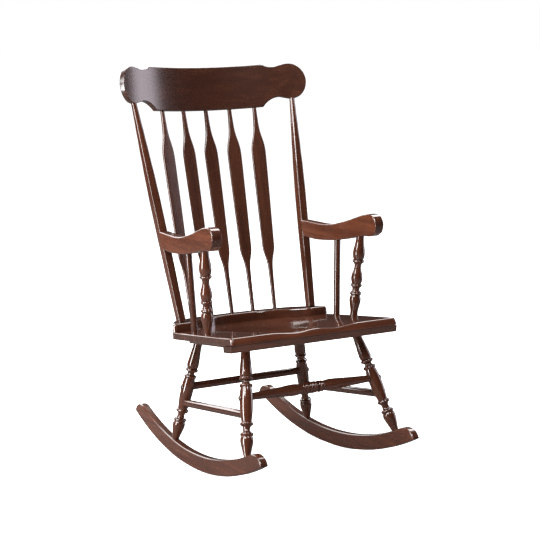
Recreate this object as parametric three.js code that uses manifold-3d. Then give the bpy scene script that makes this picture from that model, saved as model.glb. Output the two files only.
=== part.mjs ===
// A wooden rocking chair with a scalloped crest, arrow slats, a saddle seat, scroll arms
// and turned legs on two curved rockers.
// Millimetres. X runs across the chair, Y from front to back, Z up.
// Pairs are modelled on the +X side, and the -X piece is their mirror image.

import * as THREE from "three";
import { mergeVertices } from "three/addons/utils/BufferGeometryUtils.js";
import Module from "manifold-3d";

const wasm = await Module();
wasm.setup();

// Fits and facets
const fitGap = 0.3; // between pieces that touch or plug together
const overrun = 2; // how far a cutting shape passes the face that it cuts
const turnedSides = 12;
const dowelSides = 10;
const screwSides = 8;
const roundSteps = 3; // facets in a quarter round
const roundestShare = 0.96; // the largest corner rounding, as a share of half the section

// Seat: its own frame is tilted, with v from front to back and w upwards
const seatHeight = 389.6; // top of the seat above the rockers' lowest point
const seatTiltShare = 0.13;
const seatThickness = 21.2;
const seatFrontReach = 264; // front of the top face
const seatNoseOverhang = 12;
const seatNoseDrop = 15.4;
const seatStepOverhang = 10.4; // front of the lower face
const seatFrontWidth = 544;
const seatShoulderInset = 8; // how much narrower each side is at the shoulder
const seatShoulderWidth = seatFrontWidth - 2 * seatShoulderInset;
const seatShoulderReach = 66; // where the rear outline starts to turn in
const seatRearReach = 203;
const seatColumns = 18;
const seatRows = 9;
const rearOutlineShares = [
  // across, as a share of half the shoulder width; back, as a share of the way to the rear
  [1, 0],
  [0.988, 0.07],
  [0.94, 0.2],
  [0.864, 0.416],
  [0.777, 0.65],
  [0.663, 0.81],
  [0.473, 0.905],
  [0.24, 0.975],
  [0, 1],
];

// Rockers
const rockerRadius = 850; // of the underside
const rockerDepth = 45;
const rockerThickness = 24;
const rockerSetBack = 8; // of the lowest point, behind the seat's origin
const rockerInset = 38.5; // of its centre plane from the seat's side, at the lowest point
const rockerSpacing = seatFrontWidth - 2 * rockerInset;
const rockerSplayShare = 0.036; // how much the rockers close in towards the back
const rockerFrontReach = 411; // from the lowest point to the front tip
const rockerRearReach = 364;
const rockerFlat = 60; // level facet at the lowest point
const rockerEdge = 3;
const rockerNose = 50; // length of the rounded front end
const rockerNoseLip = 6; // height of the blunt tip below it
const rockerTail = 46;
const rockerTailLip = 8;
const rockerSpanSteps = 7;

// The sitter's hollow in the seat
const scoopDepth = 10;
const scoopFrontWidth = 310;
const scoopWidth = 400;
const scoopDeepest = -40; // v of its deepest line
const scoopRearLength = 260;
const pommelHeight = 8.5;
const pommelWidth = 92;
const pommelLength = 150;

// Rail under the seat's front edge, and the two cleats that carry the legs
const frontRailHeight = 18.8;
const frontRailDepth = 47;
const frontRailLean = 4; // how far its lower edge lies behind its upper edge
const frontRailInset = 0.4; // in from the seat's sides
const frontRailEdge = 4;
const cleatThickness = 19;
const cleatWidth = 52;

// Rail on the seat's rear edge
const backRailHeight = 23.6; // at its ends, above the seat's flat rim
const backRailEdge = 2.5;
const backRailEndFront = 58; // v of the straight front face at each end
const backRailCorner = 7; // rounding of the ends' front corners
const backRailEndWidth = 56;
const backRailMiddleFront = 151; // v of the front face on the centre line
const backRailFrontShares = [
  // across, as a share of the way to the straight end; forward, as a share of the curve's depth
  [0, 0],
  [0.2, 0.02],
  [0.41, 0.13],
  [0.6, 0.32],
  [0.75, 0.55],
  [0.86, 0.77],
  [0.93, 0.91],
  [0.97, 0.98],
];

// Legs: four alike
const legDiameter = 36.8;
const frontLegInset = 89; // of its top from the seat's side
const frontLegTop = seatFrontWidth / 2 - frontLegInset;
const frontLegTopReach = 195; // forward of the seat's origin, on the cleat's underside
const rearLegInset = 93;
const rearLegTop = seatShoulderWidth / 2 - rearLegInset;
const rearLegTopReach = 90.4; // backward
const frontFootReach = 308;
const rearFootReach = 120;
const legTenonDiameter = 16;
const legTenonLength = 15;
const footTenonDiameter = 12;
const footTenonLength = 10;
const legTurningShares = [
  // down the leg; diameter, as a share of the largest
  [0, 0.69],
  [0.12, 0.8],
  [0.2, 0.91],
  [0.235, 0.93],
  [0.267, 0.78],
  [0.282, 1],
  [0.297, 0.82],
  [0.313, 0.56],
  [0.331, 0.78],
  [0.348, 1],
  [0.364, 0.85],
  [0.42, 0.95],
  [0.485, 1],
  [0.58, 0.96],
  [0.677, 0.78],
  [0.705, 0.99],
  [0.721, 0.8],
  [0.74, 0.58],
  [0.765, 0.58],
  [0.8, 1],
  [0.816, 0.87],
  [0.85, 0.985],
  [0.93, 0.76],
  [1, 0.52],
];
const crossStretcherShare = 0.457; // down the leg, for the front and rear stretchers
const sideStretcherShare = 0.622;

// Stretchers
const frontStretcherDiameter = 33;
const plainStretcherDiameter = 22.2;
const stretcherTenonDiameter = 12;
const stretcherTenonLength = 11; // into the leg
const frontStretcherShares = [
  // from the middle to the leg; diameter, as a share of the largest
  [0, 1],
  [0.021, 0.86],
  [0.042, 1],
  [0.071, 0.72],
  [0.1, 1],
  [0.131, 0.8],
  [0.15, 0.95],
  [0.168, 0.81],
  [0.21, 0.92],
  [0.29, 1],
  [0.4, 0.93],
  [0.95, 0.58],
  [1, 0.58],
];

// Button plugs on the legs' outer sides
const buttonDiameter = 15;
const buttonHeight = 5;
const buttonStemDiameter = 8;
const buttonStemLength = 6;

// Back: posts, slats and crest
const crestHeight = 130.5;
const crestOverhang = 37; // past the seat's front width, at each end
const crestWidth = seatFrontWidth + 2 * crestOverhang;
const crestThickness = 17;
const crestBendRadius = 587; // of its front face
const crestReclineShare = 0.24;
const crestRise = 596.6; // from the seat's height to the crest's lower edge, on the centre line
const crestBottomHeight = seatHeight + crestRise;
const crestSetBack = 325; // front face on the centre line, at that height
const crestEdge = 3;
const crestColumnsPerSide = 16;
const crestTopShares = [
  // across, as a share of half the width; up, as a share of the height
  [0, 1],
  [0.6, 1],
  [0.624, 0.995],
  [0.648, 0.95],
  [0.69, 0.912],
  [0.735, 0.91],
  [0.79, 0.945],
  [0.85, 0.967],
  [0.9, 0.945],
  [0.94, 0.88],
  [0.972, 0.775],
  [0.993, 0.65],
  [1, 0.55],
];
const crestBottomShares = [
  [0, 0],
  [0.55, 0],
  [0.59, 0.015],
  [0.615, 0.07],
  [0.66, 0.15],
  [0.71, 0.195],
  [0.75, 0.2],
  [0.79, 0.172],
  [0.84, 0.135],
  [0.89, 0.135],
  [0.935, 0.18],
  [0.97, 0.28],
  [0.992, 0.4],
  [1, 0.5],
];
const postWidth = 25.6;
const postDepth = 26.8;
const postRailInset = 42.8; // of the post's centre from the seat's shoulder
const postRailSpread = seatShoulderWidth / 2 - postRailInset;
const postRailReach = 90.2; // v of the foot on the back rail
const postCrestInset = 42.5; // of the post's centre from the crest's end
const postCrestSpread = crestWidth / 2 - postCrestInset;
const postTenonDiameter = 13;
const postTenonLength = 18;
const postCrestTenonDiameter = 10;
const postCrestTenonLength = 22;
const postSectionShares = [
  // up the post; size, as a share of the full section; corner rounding, as a share of the fullest
  [0, 0.88, 0.35],
  [0.12, 0.905, 0.3],
  [0.26, 0.965, 0.28],
  [0.38, 1, 0.28],
  [0.54, 0.995, 0.28],
  [0.66, 0.94, 0.35],
  [0.76, 0.86, 0.5],
  [0.86, 0.775, 0.7],
  [0.93, 0.7, 0.9],
  [1, 0.62, 1],
];
const slatCrestSpacing = 78;
const slatRailSpacing = 71.5;
const slatRailReach = 180.5; // v of the middle slat's foot
const slatRailBow = 12; // how far forward of it the outer slats stand
const slatWidth = 44.5; // at the upper shoulders
const slatThickness = 9;
const slatNeckDiameter = 12;
const slatTenonLength = 17;
const slatSectionShares = [
  // up the slat; width and thickness, as shares of the way from the neck to the full blade
  [0, 0, 0],
  [0.1, 0.03, 0],
  [0.19, 0.09, 0.1],
  [0.225, 0.18, 0.3],
  [0.25, 0.34, 0.55],
  [0.272, 0.56, 0.8],
  [0.295, 0.75, 0.95],
  [0.325, 0.81, 1],
  [0.44, 0.865, 1],
  [0.6, 0.945, 1],
  [0.75, 1, 1],
  [0.785, 0.985, 1],
  [0.81, 0.9, 1],
  [0.838, 0.69, 0.9],
  [0.862, 0.45, 0.7],
  [0.89, 0.24, 0.45],
  [0.92, 0.13, 0.2],
  [0.96, 0.05, 0],
  [1, 0, 0],
];

// Arms, on a turned post and a plain dowel
const armWidth = 31;
const armFrontInset = 5.5; // of its centre line from the seat's side, at the front end
const armFrontSpread = seatFrontWidth / 2 - armFrontInset;
const armFrontReach = 193;
const armRise = 217; // from the seat's height to the arm's lowest point
const armUndersideHeight = seatHeight + armRise;
const armDepth = 101; // from there to the top of the scroll
const armEdge = 4;
const armOutlineShares = [
  // back, as a share of the way to the post; up, as a share of the depth
  [1, 0.505],
  [0.846, 0.51],
  [0.73, 0.487],
  [0.665, 0.485],
  [0.539, 0.55],
  [0.38, 0.715],
  [0.26, 0.855],
  [0.168, 0.96],
  [0.092, 1],
  [0.036, 0.948],
  [0.004, 0.8],
  [0, 0.67],
  [0.014, 0.515],
  [0.039, 0.44],
  [0.078, 0.371],
  [0.19, 0.34],
  [0.26, 0.278],
  [0.38, 0.175],
  [0.483, 0.103],
  [0.617, 0.04],
  [0.777, 0],
  [0.902, 0.02],
  [1, 0.026],
];
const armPostDiameter = 35.2;
const armPostEdgeInset = 27.5; // of its foot from the seat's side
const armPostSpread = seatFrontWidth / 2 - armPostEdgeInset;
const armPostReach = 101; // forward of the seat's origin
const armPostInset = 2; // how far the supports meet the arm inside its centre line
const armPostTopShares = [0.235, 0.3]; // where it meets the arm: back, and up
const armPostTenonDiameter = 14;
const armPostTenonLength = 13;
const armPostTurningShares = [
  // down the post; diameter, as a share of the largest
  [0, 0.65],
  [0.1, 0.78],
  [0.17, 0.96],
  [0.22, 1],
  [0.285, 0.84],
  [0.307, 1],
  [0.328, 0.84],
  [0.35, 0.64],
  [0.386, 0.57],
  [0.46, 0.83],
  [0.515, 0.96],
  [0.583, 0.81],
  [0.608, 0.97],
  [0.63, 0.8],
  [0.662, 0.66],
  [0.711, 1],
  [0.741, 0.87],
  [0.79, 0.96],
  [0.87, 0.81],
  [0.935, 0.65],
  [1, 0.665],
];
const armDowelDiameter = 19.4;
const armDowelEdgeInset = 32;
const armDowelSpread = seatFrontWidth / 2 - armDowelEdgeInset;
const armDowelReach = 19.4;
const armDowelTopShares = [0.53, 0.09];
const armDowelSocket = 12; // depth in the seat and in the arm

// Screws, and the pins that hold the crest to the posts
const screwDiameter = 4;
const screwHeadDiameter = 8;
const screwHeadHeight = 3;
const screwBite = 13; // length in the second piece
const screwSink = 6; // depth of the head below the surface
const cleatScrewShares = [0.3, 0.7]; // from the rear leg to the front leg
const frontRailScrewSpread = 92;
const armScrewRiseShare = 0.27; // up the arm's depth
const pinDiameter = 5;
const pinDepth = 14;

const looks = {
  wood: { color: 0x4a2418, roughness: 0.3, metalness: 0 },
  steel: { color: 0x8d8a84, roughness: 0.35, metalness: 1 },
};

// Vectors, and the seat's tilted frame

const point = (x, y, z) => new THREE.Vector3(x, y, z);
const along = (from, to, share) => from.clone().lerp(to, share);
const seatTilt = Math.atan(seatTiltShare);
const seatPlace = new THREE.Matrix4().makeRotationX(-seatTilt).setPosition(0, 0, seatHeight);
const onSeat = (x, v, w) => point(x, v, w).applyMatrix4(seatPlace);

// A place whose Y axis runs from one point to another, and whose Z axis faces a given way.
function axisPlace(from, to, facing) {
  const yAxis = to.clone().sub(from).normalize();
  const xAxis = new THREE.Vector3().crossVectors(yAxis, facing).normalize();
  const zAxis = new THREE.Vector3().crossVectors(xAxis, yAxis);
  return new THREE.Matrix4().makeBasis(xAxis, yAxis, zAxis).setPosition(from);
}

// The value at a place in a table of [place, value] rows.
function read(table, place, column = 1) {
  const next = Math.max(1, table.findIndex((row) => row[0] >= place));
  const [before, after] = [table[next - 1], table[next]];
  const share = (place - before[0]) / (after[0] - before[0]);
  return THREE.MathUtils.lerp(before[column], after[column], share);
}

// Solids: a closed geometry becomes a solid that can be joined and cut

function solidOf(geometry) {
  const bare = geometry.clone();
  bare.deleteAttribute("normal");
  bare.deleteAttribute("uv");
  const merged = mergeVertices(bare);
  const corners = merged.index.array;
  const faces = [];
  for (let i = 0; i < corners.length; i += 3) {
    const [a, b, c] = corners.slice(i, i + 3);
    if (a !== b && b !== c && c !== a) faces.push([a, b, c]);
  }
  const build = (list) =>
    new wasm.Manifold(
      new wasm.Mesh({
        numProp: 3,
        vertProperties: merged.attributes.position.array,
        triVerts: new Uint32Array(list.flat()),
      }),
    );
  const made = build(faces);
  return made.volume() < 0 ? build(faces.map(([a, b, c]) => [a, c, b])) : made;
}

function geometryOf(solid) {
  const mesh = solid.getMesh();
  return new THREE.BufferGeometry()
    .setAttribute("position", new THREE.BufferAttribute(new Float32Array(mesh.vertProperties), 3))
    .setIndex(new THREE.BufferAttribute(new Uint32Array(mesh.triVerts), 1));
}

const mirrored = (solid) => solidOf(geometryOf(solid).applyMatrix4(new THREE.Matrix4().makeScale(-1, 1, 1)));

// Turned wood: profile rows are [distance along the axis, radius].
function turned(profile, from, to, sides = turnedSides) {
  const points = profile.map(([distance, radius]) => new THREE.Vector2(radius, distance));
  points.unshift(new THREE.Vector2(0, profile[0][0]));
  points.push(new THREE.Vector2(0, profile[profile.length - 1][0]));
  const facing = point(0, -1, 0).cross(to.clone().sub(from)).length() > 0 ? point(0, -1, 0) : point(0, 0, 1);
  return solidOf(new THREE.LatheGeometry(points, sides).applyMatrix4(axisPlace(from, to, facing)));
}

// A round rod that starts before its first point and ends past its second one.
function rod(from, to, diameter, before = 0, after = 0, sides = dowelSides) {
  const end = from.distanceTo(to) + after;
  return turned([[-before, diameter / 2], [end, diameter / 2]], from, to, sides);
}

// A turning from a table of shares, grown by a margin and running past each end.
function turnedByShares(shares, diameter, from, to, grow, past) {
  const length = from.distanceTo(to);
  const rows = shares.map(([place, size]) => [place * length, (size * diameter) / 2 + grow]);
  const first = [-past, rows[0][1]];
  const last = [length + past, rows[rows.length - 1][1]];
  return turned([first, ...rows, last], from, to);
}

// A section with rounded corners: a ring of points around its centre.
function section(width, depth, rounding, steps) {
  const radius = Math.min(rounding, (roundestShare * Math.min(width, depth)) / 2);
  const ring = [];
  for (const [sx, sy, start] of [[1, 1, 0], [-1, 1, 1], [-1, -1, 2], [1, -1, 3]]) {
    for (let k = 0; k < steps; k++) {
      const angle = ((start + k / (steps - 1)) * Math.PI) / 2;
      const x = sx * (width / 2 - radius) + radius * Math.cos(angle);
      const y = sy * (depth / 2 - radius) + radius * Math.sin(angle);
      ring.push(new THREE.Vector2(x, y));
    }
  }
  return ring;
}

// A closed skin over a row of rings: a unit cylinder with each vertex moved to its ring.
function loft(rings) {
  const around = rings[0].length;
  const geometry = new THREE.CylinderGeometry(1, 1, 1, around, rings.length - 1);
  const position = geometry.attributes.position;
  const centres = rings.map((ring) => {
    const sum = ring.reduce((total, p) => total.add(p), point(0, 0, 0));
    return sum.divideScalar(ring.length);
  });
  for (let i = 0; i < position.count; i++) {
    const row = Math.round((0.5 - position.getY(i)) * (rings.length - 1));
    const turn = Math.atan2(position.getX(i), position.getZ(i)) / (2 * Math.PI);
    const onAxis = Math.hypot(position.getX(i), position.getZ(i)) < 0.5;
    const spot = onAxis ? centres[row] : rings[row][Math.round((turn + 1) * around) % around];
    position.setXYZ(i, spot.x, spot.y, spot.z);
  }
  return solidOf(geometry);
}

// A flat outline given a thickness along Z, with its edges taken off.
function slab(outline, thickness, edge, curveSteps) {
  return new THREE.ExtrudeGeometry(outline, {
    depth: thickness - 2 * edge,
    bevelEnabled: edge > 0,
    bevelThickness: edge,
    bevelSize: edge,
    bevelOffset: -edge,
    bevelSegments: 1,
    curveSegments: curveSteps,
  }).translate(0, 0, edge);
}

// A screw or pin: its head lies at the first point and it runs to the second one.
function screwBetween(head, tip, grow) {
  const length = head.distanceTo(tip) + grow;
  const rows = [
    [-grow, screwHeadDiameter / 2 + grow],
    [screwHeadHeight + grow, screwHeadDiameter / 2 + grow],
    [screwHeadHeight + grow, screwDiameter / 2 + grow],
    [length, screwDiameter / 2 + grow],
  ];
  return turned(rows, head, tip, screwSides);
}

// The bore for that screw, open from the surface down to its head.
function screwBore(surface, head, tip) {
  const mouth = rod(surface, head, screwHeadDiameter + 2 * fitGap, overrun, screwHeadHeight / 2, screwSides);
  return screwBetween(head, tip, fitGap).add(mouth);
}

// Scene graph

const body = new THREE.Group();
const underframe = new THREE.Group();
const seat = new THREE.Group();
const back = new THREE.Group();
const arms = new THREE.Group();
body.add(underframe, seat, back, arms);
seat.applyMatrix4(seatPlace);
body.updateMatrixWorld(true);

function addPiece(group, name, solid, place, look = looks.wood) {
  const geometry = geometryOf(solid).applyMatrix4(place.clone().invert()).toNonIndexed();
  geometry.computeVertexNormals();
  const mesh = new THREE.Mesh(geometry, new THREE.MeshStandardMaterial(look));
  mesh.name = name;
  const local = group.matrixWorld.clone().invert().multiply(place);
  local.decompose(mesh.position, mesh.quaternion, mesh.scale);
  group.add(mesh);
}

// The piece on the +X side and its mirror image.
function addPair(group, name, solid, place, look) {
  const origin = new THREE.Vector3().setFromMatrixPosition(place);
  const mirroredPlace = new THREE.Matrix4().makeTranslation(-origin.x, origin.y, origin.z);
  addPiece(group, `${name}_right`, solid, place, look);
  addPiece(group, `${name}_left`, mirrored(solid), mirroredPlace, look);
}

const at = (spot) => new THREE.Matrix4().makeTranslation(spot.x, spot.y, spot.z);

// Rockers: arcs about one centre, in a plane that closes in towards the back

const flatDrop = rockerRadius - Math.sqrt(rockerRadius ** 2 - (rockerFlat / 2) ** 2);
const rockerPlace = new THREE.Matrix4().makeBasis(
  point(1, rockerSplayShare, 0).normalize(),
  point(-rockerSplayShare, 1, 0).normalize(),
  point(0, 0, 1),
);
rockerPlace.setPosition(rockerSpacing / 2, rockerSetBack, 0);

// A point of the rocker, by its angle from the lowest point, depth above the underside and offset.
function onRocker(angle, depth, offset) {
  const radius = rockerRadius - depth;
  const spot = point(offset, radius * Math.sin(angle), rockerRadius - flatDrop - radius * Math.cos(angle));
  return spot.applyMatrix4(rockerPlace);
}

function rockerStations() {
  const stations = [];
  const frontAngle = -Math.asin(rockerFrontReach / rockerRadius);
  const rearAngle = Math.asin(rockerRearReach / rockerRadius);
  const flatAngle = Math.asin(rockerFlat / 2 / rockerRadius);
  const frontBody = frontAngle + rockerNose / rockerRadius;
  const rearBody = rearAngle - rockerTail / rockerRadius;
  for (let k = 0; k < roundSteps; k++) {
    const turn = ((k / roundSteps) * Math.PI) / 2;
    const angle = frontAngle + (rockerNose * (1 - Math.cos(turn))) / rockerRadius;
    stations.push([angle, rockerNoseLip + (rockerDepth - rockerNoseLip) * Math.sin(turn)]);
  }
  for (let k = 0; k <= rockerSpanSteps; k++) {
    stations.push([THREE.MathUtils.lerp(frontBody, -flatAngle, k / rockerSpanSteps), rockerDepth]);
  }
  for (let k = 0; k <= rockerSpanSteps; k++) {
    stations.push([THREE.MathUtils.lerp(flatAngle, rearBody, k / rockerSpanSteps), rockerDepth]);
  }
  for (let k = roundSteps - 1; k >= 0; k--) {
    const turn = ((k / roundSteps) * Math.PI) / 2;
    const angle = rearAngle - (rockerTail * (1 - Math.cos(turn))) / rockerRadius;
    stations.push([angle, rockerTailLip + (rockerDepth - rockerTailLip) * Math.sin(turn)]);
  }
  return stations;
}

// The rocker's solid, or the wider block below its top face that cuts the legs' feet.
function rockerSolid(thickness, edge, grow) {
  const rings = rockerStations().map(([angle, depth]) => {
    const full = depth + grow;
    const ring = section(thickness, full, Math.min(edge, full / 2), 2);
    return ring.map((p) => onRocker(angle, full / 2 + p.y, p.x));
  });
  return loft(rings);
}

const footAngle = (reach) => Math.asin((reach - rockerSetBack) / (rockerRadius - rockerDepth));
const onRockerTop = (reach) => onRocker(footAngle(reach), rockerDepth, 0);
const footCutter = rockerSolid(rockerThickness + 2 * legDiameter, 0, fitGap);
let rocker = rockerSolid(rockerThickness, rockerEdge, 0);

// Cleats and front rail

const cleatTop = -seatThickness - fitGap;
const cleatUnderside = cleatTop - cleatThickness;
const legAxes = {
  front: [onSeat(frontLegTop, -frontLegTopReach, cleatUnderside), onRockerTop(-frontFootReach)],
  rear: [onSeat(rearLegTop, rearLegTopReach, cleatUnderside), onRockerTop(rearFootReach)],
};

const frontRailFront = -seatFrontReach - seatStepOverhang;
const frontRailRear = frontRailFront + frontRailDepth;

function frontRailSolid() {
  const outline = new THREE.Shape();
  const bottom = cleatTop - frontRailHeight;
  const lowerFront = frontRailFront + frontRailLean;
  outline.moveTo(frontRailRear, cleatTop);
  outline.lineTo(frontRailFront, cleatTop);
  outline.lineTo(lowerFront, bottom + frontRailEdge);
  outline.quadraticCurveTo(lowerFront, bottom, lowerFront + frontRailEdge, bottom);
  outline.lineTo(frontRailRear - frontRailEdge, bottom);
  outline.quadraticCurveTo(frontRailRear, bottom, frontRailRear, bottom + frontRailEdge);
  const length = seatFrontWidth - 2 * frontRailInset;
  const across = new THREE.Matrix4().makeBasis(point(0, 1, 0), point(0, 0, 1), point(1, 0, 0));
  const geometry = slab(outline, length, 0, roundSteps).translate(0, 0, -length / 2);
  return solidOf(geometry.applyMatrix4(across).applyMatrix4(seatPlace));
}

// A cleat runs under both leg tops: round about the rear leg, cut square by the front rail.
function cleatSolid() {
  const rear = new THREE.Vector2(rearLegTop, rearLegTopReach);
  const front = new THREE.Vector2(frontLegTop, -frontLegTopReach);
  const run = front.clone().sub(rear);
  const outline = new THREE.Shape();
  outline.absarc(0, 0, cleatWidth / 2, Math.PI / 2, (3 * Math.PI) / 2, false);
  outline.lineTo(run.length() + cleatWidth, -cleatWidth / 2);
  outline.lineTo(run.length() + cleatWidth, cleatWidth / 2);
  const geometry = slab(outline, cleatThickness, 0, 3 * roundSteps);
  geometry.rotateZ(run.angle()).translate(rear.x, rear.y, cleatUnderside).applyMatrix4(seatPlace);
  const railSpace = new THREE.BoxGeometry(seatFrontWidth, cleatWidth * 3, 3 * cleatThickness);
  railSpace.translate(0, frontRailRear + fitGap - (cleatWidth * 3) / 2, cleatUnderside);
  return solidOf(geometry).subtract(solidOf(railSpace.applyMatrix4(seatPlace)));
}

let frontRail = frontRailSolid();
let cleat = cleatSolid();

// Seat panel: a block whose top is hollowed, with a nosed front edge

function scoop(x, v) {
  const forward = Math.max(0, (scoopDeepest - v) / (scoopDeepest + seatFrontReach));
  const backward = Math.max(0, (v - scoopDeepest) / scoopRearLength);
  const width = THREE.MathUtils.lerp(scoopWidth, scoopFrontWidth, forward);
  const inside = 1 - ((2 * x) / width) ** 2 - backward ** 2;
  const hollow = inside > 0 ? scoopDepth * inside ** 2 : 0;
  const pommelFade = Math.max(0, 1 - (v + seatFrontReach) / pommelLength);
  const pommel = pommelHeight * Math.exp(-(((2 * x) / pommelWidth) ** 2)) * Math.min(1, pommelFade) ** 2;
  return Math.max(0, hollow - pommel);
}

function rearOutline() {
  const depth = seatRearReach - seatShoulderReach;
  const half = rearOutlineShares.map(([across, backwards]) => {
    return new THREE.Vector2((across * seatShoulderWidth) / 2, seatShoulderReach + backwards * depth);
  });
  const other = half.slice(0, -1).reverse();
  return [...half, ...other.map((p) => new THREE.Vector2(-p.x, p.y))];
}

// The seat's block before its rear outline is sawn, widened at each side for use as a cutter.
function seatBlock(wider) {
  const geometry = new THREE.BoxGeometry(1, 1, 1, seatColumns, seatRows, 2);
  const position = geometry.attributes.position;
  const levels = {
    top: [-seatFrontReach, 0],
    nose: [-seatFrontReach - seatNoseOverhang, -seatNoseDrop],
    bottom: [-seatFrontReach - seatStepOverhang, -seatThickness],
  };
  for (let i = 0; i < position.count; i++) {
    const up = position.getZ(i);
    const [front, level] = up > 0.25 ? levels.top : up < -0.25 ? levels.bottom : levels.nose;
    const v = THREE.MathUtils.lerp(front, seatRearReach + overrun, position.getY(i) + 0.5);
    const run = THREE.MathUtils.clamp((v + seatFrontReach) / (seatShoulderReach + seatFrontReach), 0, 1);
    const width = THREE.MathUtils.lerp(seatFrontWidth, seatShoulderWidth, run ** 2);
    const x = position.getX(i) * (width + 2 * wider);
    position.setXYZ(i, x, v, up > 0.25 ? -scoop(x, v) : level);
  }
  return geometry;
}

function seatPanelSolid() {
  const outline = new THREE.Shape();
  const wide = seatFrontWidth / 2 + overrun;
  const front = -seatFrontReach - seatNoseOverhang - overrun;
  outline.moveTo(-wide, front);
  outline.lineTo(wide, front);
  outline.lineTo(wide, seatShoulderReach);
  rearOutline().forEach((p) => outline.lineTo(p.x, p.y));
  outline.lineTo(-wide, seatShoulderReach);
  const blank = slab(outline, seatThickness + 2 * overrun, 0, 1).translate(0, 0, -seatThickness - overrun);
  return solidOf(seatBlock(0).applyMatrix4(seatPlace)).intersect(solidOf(blank.applyMatrix4(seatPlace)));
}

// Rail on the seat's rear edge, flush with the seat's outline behind and fitted to its hollow

function backRailSolid() {
  const outline = new THREE.Shape();
  const front = backRailEndFront;
  const cornerBack = front + backRailCorner;
  const curveSpread = seatShoulderWidth / 2 - backRailEndWidth;
  const curveDepth = backRailMiddleFront - front;
  const behind = rearOutline().filter((p) => p.y > cornerBack + backRailEdge);
  const side = seatSideAt(cornerBack);
  outline.moveTo(side, cornerBack);
  behind.forEach((p) => outline.lineTo(p.x, p.y));
  outline.lineTo(-side, cornerBack);
  outline.quadraticCurveTo(-side, front, backRailCorner - side, front);
  outline.lineTo(-curveSpread, front);
  const curve = backRailFrontShares.map(([across, forward]) => {
    return new THREE.Vector2(across * curveSpread, backRailMiddleFront - forward * curveDepth);
  });
  curve.slice(1).reverse().forEach((p) => outline.lineTo(-p.x, p.y));
  curve.forEach((p) => outline.lineTo(p.x, p.y));
  outline.lineTo(curveSpread, front);
  outline.lineTo(side - backRailCorner, front);
  outline.quadraticCurveTo(side, front, side, cornerBack);
  const blank = slab(outline, backRailHeight + seatThickness / 2, backRailEdge, roundSteps);
  blank.translate(0, 0, fitGap - seatThickness / 2);
  const underneath = seatBlock(overrun).translate(0, 0, fitGap);
  return solidOf(blank.applyMatrix4(seatPlace)).subtract(solidOf(underneath.applyMatrix4(seatPlace)));
}

// Half the seat's width at a reach near its shoulder, where the side starts to close in.
function seatSideAt(reach) {
  const [first, second] = rearOutlineShares;
  const inward = ((first[0] - second[0]) * seatShoulderWidth) / 2;
  const slope = inward / (second[1] * (seatRearReach - seatShoulderReach));
  return seatShoulderWidth / 2 - Math.max(0, reach - seatShoulderReach) * slope;
}

let seatPanel = seatPanelSolid();
let backRail = backRailSolid();
const railTop = fitGap + backRailHeight;

// Legs: turned along their axes, cut by the cleat and the rocker, with a tenon at each end

const overCleat = new THREE.BoxGeometry(seatFrontWidth, 2 * seatFrontReach, 2 * legDiameter);
overCleat.translate(0, 0, cleatUnderside - fitGap + legDiameter).applyMatrix4(seatPlace);
const aboveCleatUnderside = solidOf(overCleat);

const legs = {};
for (const [end, [top, foot]] of Object.entries(legAxes)) {
  const shaft = turnedByShares(legTurningShares, legDiameter, top, foot, 0, legDiameter / 2);
  const headTenon = rod(foot, top, legTenonDiameter, -legDiameter, legTenonLength);
  const footTenon = rod(top, foot, footTenonDiameter, -legDiameter, footTenonLength);
  const socket = rod(foot, top, legTenonDiameter + 2 * fitGap, -legDiameter, legTenonLength + fitGap);
  const footSocket = rod(top, foot, footTenonDiameter + 2 * fitGap, -legDiameter, footTenonLength + fitGap);
  legs[end] = shaft.subtract(aboveCleatUnderside).subtract(footCutter).add(headTenon).add(footTenon);
  legs[`${end}Envelope`] = turnedByShares(legTurningShares, legDiameter, top, foot, fitGap, 0);
  cleat = cleat.subtract(socket);
  rocker = rocker.subtract(footSocket);
}

// Stretchers: each end is cut to its leg, and a tenon enters the leg

function stretcherBetween(shaft, from, to, fromEnvelope, toEnvelope) {
  const middle = along(from, to, 0.5);
  const tenons = [from, to].map((end) => {
    const skin = end.clone().sub(middle).setLength(legDiameter / 2 - stretcherTenonLength);
    return end.clone().sub(skin);
  });
  const tenon = rod(tenons[0], tenons[1], stretcherTenonDiameter);
  const socket = rod(tenons[0], tenons[1], stretcherTenonDiameter + 2 * fitGap, fitGap, fitGap);
  return { solid: shaft.subtract(fromEnvelope).subtract(toEnvelope).add(tenon), socket };
}

function crossAxis(end) {
  const right = along(...legAxes[end], crossStretcherShare);
  return [point(-right.x, right.y, right.z), right];
}

const frontAxis = crossAxis("front");
const rearAxis = crossAxis("rear");
const sideAxis = [along(...legAxes.front, sideStretcherShare), along(...legAxes.rear, sideStretcherShare)];
const halfFront = frontStretcherShares.map(([place, size]) => [(1 + place) / 2, size]);
const otherHalf = halfFront.slice(1).map(([place, size]) => [1 - place, size]).reverse();
const frontShaft = turnedByShares([...otherHalf, ...halfFront], frontStretcherDiameter, ...frontAxis, 0, 0);
const envelopes = {
  frontRight: legs.frontEnvelope,
  frontLeft: mirrored(legs.frontEnvelope),
  rearRight: legs.rearEnvelope,
  rearLeft: mirrored(legs.rearEnvelope),
};
const frontStretcher = stretcherBetween(frontShaft, ...frontAxis, envelopes.frontLeft, envelopes.frontRight);
const rearShaft = rod(...rearAxis, plainStretcherDiameter);
const rearStretcher = stretcherBetween(rearShaft, ...rearAxis, envelopes.rearLeft, envelopes.rearRight);
const sideShaft = rod(...sideAxis, plainStretcherDiameter);
const sideStretcher = stretcherBetween(sideShaft, ...sideAxis, envelopes.frontRight, envelopes.rearRight);

legs.front = legs.front.subtract(frontStretcher.socket).subtract(sideStretcher.socket);
legs.rear = legs.rear.subtract(rearStretcher.socket).subtract(sideStretcher.socket);

// Button plugs: a domed cap on a stem, opposite each cross stretcher

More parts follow.
